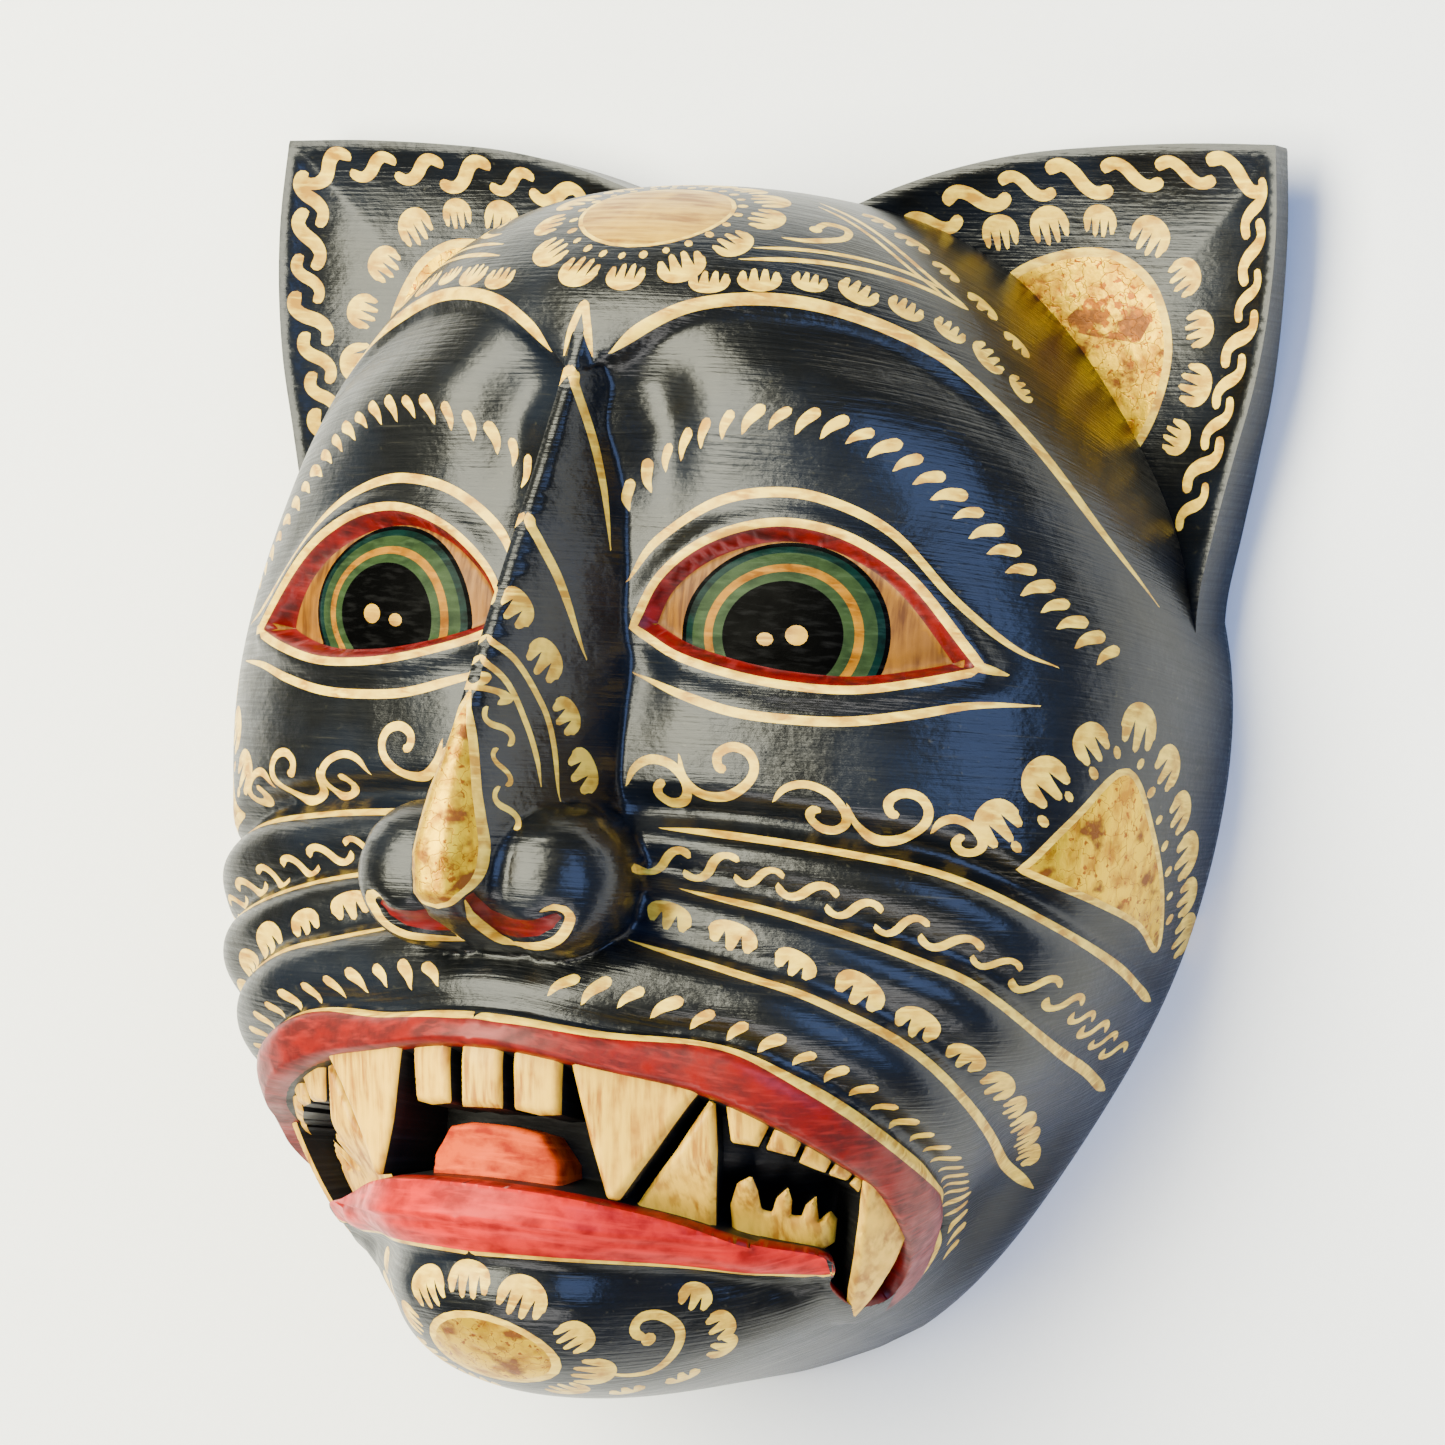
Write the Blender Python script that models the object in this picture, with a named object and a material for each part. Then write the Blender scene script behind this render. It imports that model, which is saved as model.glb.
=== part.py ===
"""A carved and painted wooden mask of a demon cat, lying on its back with the face up.

The whole mask is one piece of wood: head, ears, teeth, tongue and tusks are carved from one block,
and the back is hollowed out for a wearer's face. Right on the mask is +X, the ears point to +Y and
the nose points up, +Z. The flat back rim lies in the plane z = 0.
"""

import math

import bmesh
import bpy
import numpy as np
from mathutils import Vector
from mathutils.geometry import delaunay_2d_cdt

# Driving sizes, in metres
HEAD_WIDTH = 0.194  # across the cheeks, at the back rim
HEAD_HEIGHT = 0.222  # crown to chin, at the back rim
FACE_DEPTH = 0.118  # back rim to the tip of the nose
WALL = 0.013  # width of the flat back rim
HOLLOW_DEPTH = 0.054  # how deep the back is hollowed out
MOUTH_DEPTH = 0.016  # lip to the floor of the open mouth
TOOTH_SINK = 0.002  # how far the tooth fronts lie behind the lip
EAR_EDGE = 0.0055  # thickness of an ear at its tip
EAR_RELIEF = 0.014  # height of an ear's edge above the back rim
EAR_LIFT = 0.001  # gap under an ear's back where it leaves the head
EAR_CUP = 0.0085  # how deep the front of an ear is scooped

# The form below is drawn for a head of these sizes, in millimetres, and scaled to the sizes above
DRAWN_WIDTH = 194.0
DRAWN_HEIGHT = 222.0
DRAWN_DEPTH = 118.0
SCALE = np.array([HEAD_WIDTH / DRAWN_WIDTH, HEAD_HEIGHT / DRAWN_HEIGHT, FACE_DEPTH / DRAWN_DEPTH])

# Fineness of the carved surface, in drawn millimetres
CUT = 6.0  # between points on the open cheeks and forehead
FINE_CUT = 4.4  # between points on the nose and round the eyes
RIM_STEPS = 72  # points round the back rim
HOLLOW_RINGS = 6
HOLLOW_FULLNESS = 0.75  # 1 is an ellipsoid, less is squarer

# Back rim, right half, from the crown to the chin: x, y
RIM = (
    (0, 109), (22, 108.5), (39, 102.5), (53, 93.5), (69, 78), (83, 58), (91.5, 42), (96.5, 22),
    (97, 5), (94.5, -12), (89, -30), (83, -44), (76, -58), (67, -72), (55, -87), (41, -101), (24, -111),
    (0, -113),
)
RIM_WAVES = 9

# Crest of the nose, from the brow down to the lip: y, height, half width of the nose there
NOSE = (
    (78, 77, 2.5), (68, 81, 4.0), (50, 89.5, 7.5), (38, 95.5, 10.5), (21.5, 103.5, 12.5), (9, 109.5, 13),
    (-4, 115, 13), (-15, 118, 12.5), (-22, 117, 12), (-26, 112, 12), (-30, 101, 12), (-34, 86, 12),
)
NOSE_FLAT = 1.2  # half width of the flat strip along the crest
NOSE_STEPS = 24
NOSE_SHARES = (0.0, 0.4, 0.75, 1.05)
WING_MIDDLE = (13.0, -19.1, 95.1)  # of the ball of the right wing: across, up, height
WING_RADIUS = 13.1
WING_LEAN = math.radians(28.0)  # outwards from the middle of the face
WING_WALL = 9.0  # steepness of the wall under a wing's ball
WING_STEPS = 16
WING_SHARES = (0.5, 0.85, 1.02)
NOSTRIL = ((-13.5, -4.5), (-10.3, -7.7), (-6.1, -8.9), (-2.2, -8.2), (0.0, -6.0))
NOSTRIL_DEPTH = 2.6
NOSTRIL_REACH = 2.2
SEARCH_STEPS = 90  # of the search for places on the unrolled face
SEARCH_PACE = 0.25

# Lines on the unrolled face, right half, from the nose outwards: across, up
BROW_LINE = ((6.5, 74.8), (20, 83.8), (38, 87), (56, 84.3), (78, 70.6), (101, 51.5), (116, 43))
FOLD_LINES = (
    ((10, -9), (32.6, -9.4), (54.3, -11.3), (75.1, -15.2), (94.3, -24.7), (114.5, -38.6), (130, -54)),
    ((14, -18), (23.7, -18.9), (49.2, -23.2), (70, -30.3), (84.2, -38.6), (111, -65.4), (124, -84)),
    ((14, -29), (22, -29.8), (41, -33.2), (57.1, -38), (74.8, -50.5), (91.5, -75.9), (108, -118)),
)
FOLD_DEPTHS = (4.4, 2.8, 2.6)

# The open eye, right half, on the face seen from the front: x, y
EYE_TOP = ((14, 26.5), (18, 34.5), (26, 41), (36, 44.6), (45, 44.6), (54, 41.6), (63, 35.3), (74, 22.3))
EYE_FOOT = ((74, 22.3), (66, 20), (56, 18), (46, 17.9), (35, 19.2), (23, 22.2), (14, 26.5))
EYE_MIDDLE = (44, 30.5)

# The open mouth on the unrolled face, right half, from the top middle round to the bottom middle
MOUTH = (
    (0, -54.5), (20, -54.2), (40, -55), (53, -60.5), (63, -69.5), (70.5, -81), (75, -98), (75, -112),
    (71, -122), (65, -117), (60.5, -104), (60, -93), (43, -84), (22, -80), (0, -79.5),
)
MOUTH_AIM = np.array([0.0, -72.0, 12.0])
MOUTH_SPREAD = 0.25

# The jaw falls back and inwards towards the corners of the mouth, along this direction on the right
JAW_BACK = (-0.48, 0.0, -0.88)
JAW_FALL = 7.5
LIP_LINE = ((0, -50), (22, -49.3), (40, -47.5), (52, -51), (66, -62.5), (78, -80), (84.5, -99), (84, -116))
LIP_FOOT = ((0, -91), (20, -91), (41, -92.5), (57, -98))

# Teeth on the unrolled face, right half: outline, and how far the front stands behind the lip
UPPER_TEETH = (
    (((7.6, -51), (17.4, -51), (16.6, -65), (7.4, -65.4)), 0.0),
    (((18.5, -51), (42, -52), (38.5, -58.5), (33.3, -68.8), (26, -79.6), (22.2, -68.9)), -1.5),
    (((43.6, -52), (58.6, -59.6), (55.9, -67.5), (45.4, -64.8)), 1.0),
    (((59.2, -60), (72, -77), (68.4, -81.5), (56.6, -68.9)), 1.0),
)
LOWER_TEETH = (
    (((28.6, -82.5), (42.8, -86), (43.2, -66.9), (42.2, -57), (36.2, -68.2)), 0.5),
    (((45.4, -87), (45.2, -79), (48.8, -71.8), (60, -78), (63.6, -86), (63, -93), (58, -95)), 2.0),
)
MIDDLE_TOOTH = ((-4.4, -51.5), (5.2, -51.5), (4.9, -65.6), (-4.6, -66))
TONGUE = ((-15.5, -82), (15.5, -82), (15, -75), (11, -69.5), (-11, -69.5), (-15, -75))
TONGUE_SINK = 0.004
TOOTH_ROOT = 0.006  # how far tooth backs reach under the floor of the mouth

# Tusk in the corner of the mouth: its outline, standing further out of the face towards its tip
TUSK = ((67.5, -74), (71.5, -78.5), (75.6, -93.5), (72, -102.5), (62.6, -120), (62.2, -112), (64.7, -95))
TUSK_SINK = -1.0
TUSK_RISE = 6.0
TUSK_BACK = 7.5
TUSK_TOP = 77.0
TUSK_FOOT = 108.0

# Ear, from where it leaves the crown round to where it meets the cheek: x, y
EAR_EDGE_LINE = (
    (20, 107), (30, 111), (42, 114.6), (56, 117.3), (72, 118.6), (89, 119.2), (105, 119), (106, 104),
    (105.5, 90), (103.6, 76), (100.5, 63), (97.5, 50), (95, 36), (95.5, 22),
)
EAR_TIP = 6
EAR_ROWS = 5

LACQUER = (0.012, 0.014, 0.028, 1.0)
LACQUER_GLOSS = 0.28


def ease(value, start, stop):
    """0 before start, 1 after stop, smooth between."""
    share = np.clip((value - start) / (stop - start), 0.0, 1.0)
    return share * share * (3.0 - 2.0 * share)


def bell(value, width):
    return np.exp(-((value / width) ** 2))


def blend_max(first, second, radius):
    """The higher of two surfaces, with their meeting line rounded."""
    gap = np.clip(1.0 - np.abs(first - second) / radius, 0.0, 1.0)
    return np.maximum(first, second) + radius * gap * gap / 4.0


def smooth_line(points, parts):
    """A Catmull-Rom line through the points, with so many parts between each two."""
    points = np.array(points, float)
    padded = np.vstack([2 * points[0] - points[1], points, 2 * points[-1] - points[-2]])
    line = []
    for before, start, stop, after in zip(padded, padded[1:], padded[2:], padded[3:]):
        for part in range(parts):
            t = part / parts
            line.append(
                0.5 * (2 * start + (stop - before) * t + (2 * before - 5 * start + 4 * stop - after) * t * t
                       + (3 * start - before - 3 * stop + after) * t ** 3)
            )
    line.append(points[-1])
    return np.array(line)


def nearest_on(line, across, up):
    """For each point: its place along the line, and its distance, positive to the left of the line."""
    start = line[:-1]
    step = line[1:] - start
    length = np.hypot(step[:, 0], step[:, 1])
    travelled = np.concatenate([[0.0], np.cumsum(length)[:-1]])
    from_x = across[:, None] - start[:, 0]
    from_y = up[:, None] - start[:, 1]
    share = np.clip((from_x * step[:, 0] + from_y * step[:, 1]) / length ** 2, 0.0, 1.0)
    gap = np.hypot(from_x - share * step[:, 0], from_y - share * step[:, 1])
    best = np.argmin(gap, axis=1)
    row = np.arange(len(best))
    side = np.sign(step[best, 0] * from_y[row, best] - step[best, 1] * from_x[row, best])
    return travelled[best] + share[row, best] * length[best], gap[row, best] * side


def inside_depth(ring, across, up):
    """Distance inside a closed ring, negative outside it."""
    closed = np.vstack([ring, ring[:1]])
    _, gap = nearest_on(closed, across, up)
    start = closed[:-1]
    stop = closed[1:]
    spans = (start[:, 1] > up[:, None]) != (stop[:, 1] > up[:, None])
    with np.errstate(divide="ignore", invalid="ignore"):
        slope = (stop[:, 0] - start[:, 0]) / (stop[:, 1] - start[:, 1])
        crossed = across[:, None] < slope * (up[:, None] - start[:, 1]) + start[:, 0]
    odd = np.sum(spans & crossed, axis=1) % 2 == 1
    return np.where(odd, np.abs(gap), -np.abs(gap))


def fit_rim():
    """Cosine waves whose sum is the rim's distance from the middle at each angle from the crown."""
    points = np.array(RIM, float)
    angle = np.arctan2(points[:, 0], points[:, 1])
    waves = np.cos(np.outer(angle, np.arange(RIM_WAVES)))
    return np.linalg.lstsq(waves, np.hypot(points[:, 0], points[:, 1]), rcond=None)[0]


RIM_FIT = fit_rim()


def rim_reach(angle):
    return sum(size * np.cos(wave * angle) for wave, size in enumerate(RIM_FIT))


def dome(x, y):
    """Height of the plain head, before nose, brows and folds are carved."""
    angle = np.arctan2(np.abs(x), y)
    share = np.hypot(x, y) / rim_reach(angle)
    upward = np.cos(angle)
    fullness = 0.27 - 0.04 * ease(upward, 0.2, 1.0) - 0.13 * ease(-upward, 0.1, 0.95)
    side = np.abs(x)
    forehead = 16.0 * bell(side, 52.0) * ease(y, 45.0, 88.0)
    muzzle = (26.0 * bell(side, 50.0) + 8.0 * bell(side - 55.0, 18.0)) * ease(-y, 8.0, 52.0)
    chin = 10.0 * bell(side, 40.0) * ease(-y, 60.0, 100.0)
    jaw_hollow = 9.0 * bell(side - 70.0, 14.0) * ease(-y, 50.0, 85.0)
    top = 77.0 + forehead + muzzle + chin - jaw_hollow
    return top * np.maximum(1.0 - share * share, 0.0) ** fullness


class Unrolling:
    """The face unrolled from the middle outwards, so that its steep sides are drawn at full length."""

    ANGLES = 121
    STEPS = 200
    SAMPLES = 1200

    def __init__(self):
        angle = np.linspace(0.0, math.pi, self.ANGLES)[:, None]
        share = 1.0 - (1.0 - np.linspace(0.0, 1.0, self.SAMPLES)[None, :]) ** 4
        reach = rim_reach(angle)
        x = np.sin(angle) * reach * share
        y = np.cos(angle) * reach * share
        pieces = np.sqrt(np.diff(x) ** 2 + np.diff(y) ** 2 + np.diff(dome(x, y)) ** 2)
        run = np.concatenate([np.zeros((self.ANGLES, 1)), np.cumsum(pieces, axis=1)], axis=1)
        self.length = run[:, -1]
        even = np.linspace(0.0, 1.0, self.STEPS)
        self.share = np.array([np.interp(even, run[i] / run[i, -1], share[0]) for i in range(self.ANGLES)])

    def reach(self, angle):
        return np.interp(angle, np.linspace(0.0, math.pi, self.ANGLES), self.length)

    def front_view(self, across, up):
        """Where points of the unrolled face are seen from the front: x, y."""
        angle = np.arctan2(np.abs(across), up)
        run = np.clip(np.hypot(across, up) / self.reach(angle), 0.0, 1.0) * (self.STEPS - 1)
        turn = angle / math.pi * (self.ANGLES - 1)
        i = np.clip(turn.astype(int), 0, self.ANGLES - 2)
        j = np.clip(run.astype(int), 0, self.STEPS - 2)
        a = turn - i
        b = run - j
        share = (1 - a) * ((1 - b) * self.share[i, j] + b * self.share[i, j + 1])
        share = share + a * ((1 - b) * self.share[i + 1, j] + b * self.share[i + 1, j + 1])
        radius = rim_reach(angle) * share
        return np.sin(angle) * radius * np.where(across < 0, -1.0, 1.0), np.cos(angle) * radius


UNROLLING = Unrolling()


def nose_height(x, y):
    """Height of the nose's ridge and side walls, far below the face elsewhere."""
    line = np.array(NOSE, float)[::-1]
    crest = np.interp(y, line[:, 0], line[:, 1])
    half = np.interp(y, line[:, 0], line[:, 2])
    roundness = 1.15 + 1.3 * ease(-y, -12.0, 18.0)
    side = np.maximum(np.abs(x) - NOSE_FLAT, 0.0)
    ridge = crest - (crest - 72.0) * (side / half) ** roundness
    return np.where((y > NOSE[0][0]) | (y < NOSE[-1][0]), 0.0, ridge)


def wing_view(points):
    """Points seen down the lean of their wing, from the middle of its ball: across, up, height."""
    side = np.abs(points[:, 0]) - WING_MIDDLE[0]
    rise = points[:, 2] - WING_MIDDLE[2]
    across = side * math.cos(WING_LEAN) - rise * math.sin(WING_LEAN)
    height = side * math.sin(WING_LEAN) + rise * math.cos(WING_LEAN)
    return across, points[:, 1] - WING_MIDDLE[1], height


def raise_wings(points):
    """The nose's ridge and the cheeks with the balls of the wings raised on them, and the nostrils cut."""
    across, up, height = wing_view(points)
    gap = np.hypot(across, up)
    ball = np.sqrt(np.maximum(WING_RADIUS ** 2 - gap ** 2, 0.0))
    ball = ball - WING_WALL * np.maximum(gap - WING_RADIUS, 0.0)
    _, gap = nearest_on(smooth_line(NOSTRIL, 5), across, up)
    lift = blend_max(height, ball, 3.0) - height - NOSTRIL_DEPTH * bell(gap, NOSTRIL_REACH)
    side = np.where(points[:, 0] < 0, -1.0, 1.0)
    lean = np.stack([side * math.sin(WING_LEAN), side * 0.0, side * 0.0 + math.cos(WING_LEAN)], axis=1)
    return points + lean * lift[:, None]


def eye_ring(parts):
    top = smooth_line(EYE_TOP, parts)
    foot = smooth_line(EYE_FOOT, parts)
    return np.vstack([top[:-1], foot[:-1]])


def mouth_ring(parts):
    right = smooth_line(MOUTH, parts)
    left = right[1:-1][::-1] * (-1.0, 1.0)
    return np.vstack([right, left])


def eye_relief(x, y, parts=4):
    """Lid, lid wall and eyeball, measured out of the face."""
    inside = inside_depth(eye_ring(parts), np.abs(x), y)
    lid = 1.6 * bell(np.minimum(inside, 0.0) + 1.5, 2.6) * (inside < 0)
    ball_x = (np.abs(x) - EYE_MIDDLE[0]) / 30.0
    ball_y = (y - EYE_MIDDLE[1]) / 15.0
    ball = -4.2 + 4.0 * np.maximum(1.0 - ball_x ** 2 - ball_y ** 2, -0.4)
    edge_lid = 1.6 * bell(1.5, 2.6)
    return np.where(inside > 0, edge_lid + (ball - edge_lid) * ease(inside, 0.0, 2.2), lid)


def brow_relief(across, up):
    """The ledge under each brow line, the hollow beside the bridge and the swelling above the eye."""
    along, below = nearest_on(smooth_line(BROW_LINE, 5), np.abs(across), up)
    below = -below
    ledge = -2.6 * (1.0 - ease(along, 35.0, 95.0)) * ease(below, -1.0, 3.0) * (1.0 - ease(below, 5.0, 24.0))
    side = np.abs(across)
    hollow = -5.5 * bell(side - 13.0, 8.5) * bell(up - 60.0, 15.0)
    swelling = 2.4 * bell(side - 50.0, 26.0) * bell(up - 66.0, 11.0)
    corner = -3.5 * bell(side - 15.0, 6.0) * bell(up - 22.0, 14.0)
    return ledge + hollow + swelling + corner


def cheek_relief(across, up):
    """The grooves and rolls of the snarling cheek, and the flattening beside the eyes."""
    side = np.abs(across)
    total = 3.8 * bell(side - 84.0, 22.0) * bell(up + 40.0, 26.0)
    total = total - 2.0 * bell(side - 92.0, 20.0) * bell(up - 34.0, 26.0)
    total = total - 4.5 * bell(side - 98.0, 20.0) * bell(up + 118.0, 28.0)
    for points, depth in zip(FOLD_LINES, FOLD_DEPTHS):
        along, above = nearest_on(smooth_line(points, 4), side, up)
        fade = ease(along, 0.0, 8.0) * (1.0 - 0.75 * ease(along, 62.0, 118.0))
        groove = -depth * bell(above - 3.2, 3.0)
        roll = 1.8 * bell(above + 4.0, 4.5)
        total = total + fade * (groove + roll)
    return total


def mouth_relief(across, up, parts=4):
    """Raised lips round the open mouth, and how far inside the mouth each point lies."""
    side = np.abs(across)
    inside = inside_depth(mouth_ring(parts), across, up)
    _, above_lip = nearest_on(smooth_line(LIP_LINE, 4), side, up)
    groove = -2.6 * bell(above_lip - 3.0, 2.6)
    lip = 1.8 * (1.0 - ease(above_lip, 0.0, 2.5)) * (1.0 - ease(-inside, 7.0, 11.0))
    _, above_foot = nearest_on(smooth_line(LIP_FOOT, 4), side, up)
    lower = 2.6 * bell(above_foot - 5.0, 4.5) * (1.0 - ease(side, 44.0, 58.0))
    under = -2.2 * bell(above_foot + 3.0, 4.0) * (1.0 - ease(side, 50.0, 64.0))
    lip = np.where(up < -86.0, lip * ease(side, 58.0, 64.0), lip)
    return groove + lip + lower + under, inside


def plain_point(across, up):
    """Points of the uncarved head for points of the unrolled face."""
    x, y = UNROLLING.front_view(across, up)
    return np.stack([x, y, dome(x, y)], axis=1)


def plain_normal(across, up):
    span = 0.35
    along = plain_point(across + span, up) - plain_point(across - span, up)
    climb = plain_point(across, up + span) - plain_point(across, up - span)
    outward = np.cross(along, climb)
    return outward / np.maximum(np.linalg.norm(outward, axis=1), 1e-9)[:, None]


def fall_back(across, amount):
    """Shifts of points on either side of the jaw, inwards and back."""
    shift = np.outer(amount, JAW_BACK)
    shift[:, 0] *= np.where(across < 0, -1.0, 1.0)
    return shift


def jaw_shift(across, up):
    """How the lower jaw narrows towards its corners."""
    side = np.abs(across)
    amount = JAW_FALL * ease(side, 16.0, 44.0) * (1.0 - 0.5 * ease(side, 50.0, 62.0))
    amount = amount * (1.0 - ease(side, 64.0, 72.0)) * ease(-up, 68.0, 84.0)
    amount = amount * (1.0 - 0.4 * ease(-up, 100.0, 118.0))
    return fall_back(across, amount)


def into_mouth(points):
    """Directions from points of the face towards a place deep behind the mouth."""
    aim = MOUTH_AIM - points * (1.0 - MOUTH_SPREAD, 1.0, 1.0)
    return aim / np.linalg.norm(aim, axis=1)[:, None]


def carve(across, up):
    """Points of the finished front for points of the unrolled face, in drawn millimetres."""
    centre = plain_point(across, up)
    outward = plain_normal(across, up)
    x = centre[:, 0]
    y = centre[:, 1]
    angle = np.arctan2(np.abs(across), up)
    from_rim = UNROLLING.reach(angle) - np.hypot(across, up)
    near_rim = ease(from_rim, 2.0, 16.0)
    relief = eye_relief(x, y) + brow_relief(across, up) + cheek_relief(across, up)
    under_nose = 1.0 - bell(x, 16.0) * ease(y, -42.0, -34.0) * ease(-y, -70.0, -60.0)
    lips, inside_mouth = mouth_relief(across, up)
    relief = relief * under_nose + lips * (1.0 - ease(inside_mouth, 0.0, 1.6))
    points = centre + outward * (relief * near_rim)[:, None]
    sink = MOUTH_DEPTH * 1000.0 * ease(inside_mouth, 0.0, 1.6)
    points = points + into_mouth(centre) * sink[:, None] + jaw_shift(across, up)
    points[:, 2] = blend_max(points[:, 2], nose_height(points[:, 0], points[:, 1]), 1.5)
    points = raise_wings(points)
    points[from_rim < 0.01, 2] = 0.0
    return points


def at_depth(ring, sink):
    """A ring on the unrolled face, sunk below the plain face by so many drawn millimetres."""
    points = plain_point(ring[:, 0], ring[:, 1])
    return points + into_mouth(points) * np.reshape(sink, (-1, 1))


def inset(ring, amount):
    """A closed ring moved inwards by an amount."""
    ring = np.array(ring, float)
    before = np.roll(ring, 1, axis=0)
    after = np.roll(ring, -1, axis=0)
    run = after - before
    run = run / np.linalg.norm(run, axis=1)[:, None]
    inward = np.stack([-run[:, 1], run[:, 0]], axis=1)
    moved = ring + inward * amount
    if inside_depth(ring, moved[:, 0], moved[:, 1]).mean() < 0:
        moved = ring - inward * amount
    return moved


def scatter():
    """Points over the unrolled face: a coarse hexagonal net, and a finer one where the carving is finer."""
    coarse = hexagon_net(CUT)
    fine = hexagon_net(FINE_CUT)
    points = np.vstack([coarse[~is_fine(coarse)], fine[is_fine(fine)]])
    return points[~is_nose(points)]


def hexagon_net(gap):
    reach = float(UNROLLING.length.max())
    rows = int(reach / (gap * math.sqrt(3) / 2)) + 1
    columns = int(reach / gap) + 1
    points = []
    for row in range(-rows, rows + 1):
        shift = gap / 2 if row % 2 else 0.0
        rise = row * gap * math.sqrt(3) / 2
        points += [(column * gap + shift, rise) for column in range(-columns, columns + 1)]
    return np.array(points)


def is_fine(points):
    side = np.abs(points[:, 0])
    up = points[:, 1]
    eyes = (side > 12.0) & (side < 76.0) & (up > 17.0) & (up < 47.0)
    folds = (side < 70.0) & (up < -8.0) & (up > -44.0)
    return eyes | folds


def is_nose(points):
    """Where the lines of nose_cuts stand instead of the net."""
    side = np.abs(points[:, 0])
    line = np.array(NOSE, float)[::-1]
    half = np.interp(points[:, 1], line[:, 0], line[:, 2]) + NOSE_FLAT + 1.5
    ridge = (side < half) & (points[:, 1] < NOSE[0][0]) & (points[:, 1] > NOSE[-1][0] + 2.0)
    return ridge | (inside_depth(wing_ring(WING_SHARES[-1]), side, points[:, 1]) > -1.5)


def wing_ring(share):
    """A ring round the ball of the right wing on the unrolled face, at a share of its radius."""
    turn = np.linspace(0.0, 2 * math.pi, WING_STEPS + 1)[:-1]
    place = np.stack([np.cos(turn), np.sin(turn)], axis=1) * WING_RADIUS * share
    guess = place + WING_MIDDLE[:2]
    for _ in range(SEARCH_STEPS):
        across, up, _ = wing_view(carve(guess[:, 0], guess[:, 1]))
        guess += (place - np.stack([across, up], axis=1)) * SEARCH_PACE
    return guess


def nose_cuts():
    """Lines down the nose, from its crest out to its foot, and rings on its wings."""
    line = np.array(NOSE, float)[::-1]
    y = np.linspace(NOSE[-1][0] + 3.0, NOSE[0][0] - 1.0, NOSE_STEPS)
    half = np.interp(y, line[:, 0], line[:, 2])
    cuts = [unroll_ring(np.stack([y * 0.0, y], axis=1))]
    for share in NOSE_SHARES:
        for side in (1.0, -1.0):
            cuts.append(unroll_ring(np.stack([side * (NOSE_FLAT + share * half), y], axis=1)))
    for share in WING_SHARES:
        ring = wing_ring(share)
        ring = np.vstack([ring, ring[:1]])
        cuts += [ring, ring * (-1.0, 1.0)]
    return cuts


def front_mesh():
    """The carved front as points and triangles, and the number of points that lie on the back rim."""
    angle = np.arange(RIM_STEPS) * 2 * math.pi / RIM_STEPS
    reach = UNROLLING.reach(np.minimum(angle, 2 * math.pi - angle))
    rim = np.stack([np.sin(angle) * reach, np.cos(angle) * reach], axis=1)
    rings = [rim]
    mouth = mouth_ring(2)
    rings += [mouth, inset(mouth, 1.7)]
    for side in (1.0, -1.0):
        lid = unroll_ring(eye_ring(2)) * (side, 1.0)
        rings += [lid, inset(lid, 2.2)]
    points = scatter()
    angle = np.arctan2(np.abs(points[:, 0]), points[:, 1])
    keep = UNROLLING.reach(angle) - np.hypot(points[:, 0], points[:, 1]) > CUT * 0.6
    points = points[keep]
    for ring in rings[1:]:
        points = points[np.abs(inside_depth(ring, points[:, 0], points[:, 1])) > 1.3]
    cuts = fold_cuts() + nose_cuts()
    for line in cuts:
        gap = nearest_on(line, points[:, 0], points[:, 1])[1]
        points = points[np.abs(gap) > 1.6]
    edges = []
    corners = []
    for ring in rings:
        first = len(corners)
        corners += [Vector(corner) for corner in ring]
        edges += [(first + i, first + (i + 1) % len(ring)) for i in range(len(ring))]
    for line in cuts:
        first = len(corners)
        corners += [Vector(corner) for corner in line]
        edges += [(first + i, first + i + 1) for i in range(len(line) - 1)]
    corners += [Vector(point) for point in points]
    flat, _, faces, _, _, _ = delaunay_2d_cdt(corners, edges, [list(range(RIM_STEPS))], 1, 1e-4)
    flat = np.array([tuple(point) for point in flat])
    return carve(flat[:, 0], flat[:, 1]), flat, faces


def fold_cuts():
    """Lines along the bottom of each groove in the cheeks, and along the crest under it."""
    cuts = []
    for points in FOLD_LINES:
        line = smooth_line(points, 3)
        angle = np.arctan2(np.abs(line[:, 0]), line[:, 1])
        line = line[UNROLLING.reach(angle) - np.hypot(line[:, 0], line[:, 1]) > CUT]
        run = np.gradient(line, axis=0)
        run = run / np.linalg.norm(run, axis=1)[:, None]
        left = np.stack([-run[:, 1], run[:, 0]], axis=1)
        for offset in (3.2, -2.5):
            moved = line + left * offset
            cuts += [moved, moved * (-1.0, 1.0)]
    return cuts


def unroll_ring(ring):
    """The place on the unrolled face of points that are given as seen from the front."""
    place = np.array(ring, float)
    guess = place.copy()
    for _ in range(30):
        x, y = UNROLLING.front_view(guess[:, 0], guess[:, 1])
        guess += place - np.stack([x, y], axis=1)
    return guess


def add_object(name, points, faces, material):
    mesh = bpy.data.meshes.new(name)
    mesh.from_pydata([tuple(point) for point in points], [], [list(face) for face in faces])
    work = bmesh.new()
    work.from_mesh(mesh)
    bmesh.ops.recalc_face_normals(work, faces=work.faces)
    if work.calc_volume(signed=True) < 0:
        bmesh.ops.reverse_faces(work, faces=work.faces)
    work.to_mesh(mesh)
    work.free()
    mesh.materials.append(material)
    mesh.shade_smooth()
    mesh.set_sharp_from_angle(angle=math.radians(50))
    piece = bpy.data.objects.new(name, mesh)
    bpy.context.scene.collection.objects.link(piece)
    return piece


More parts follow.
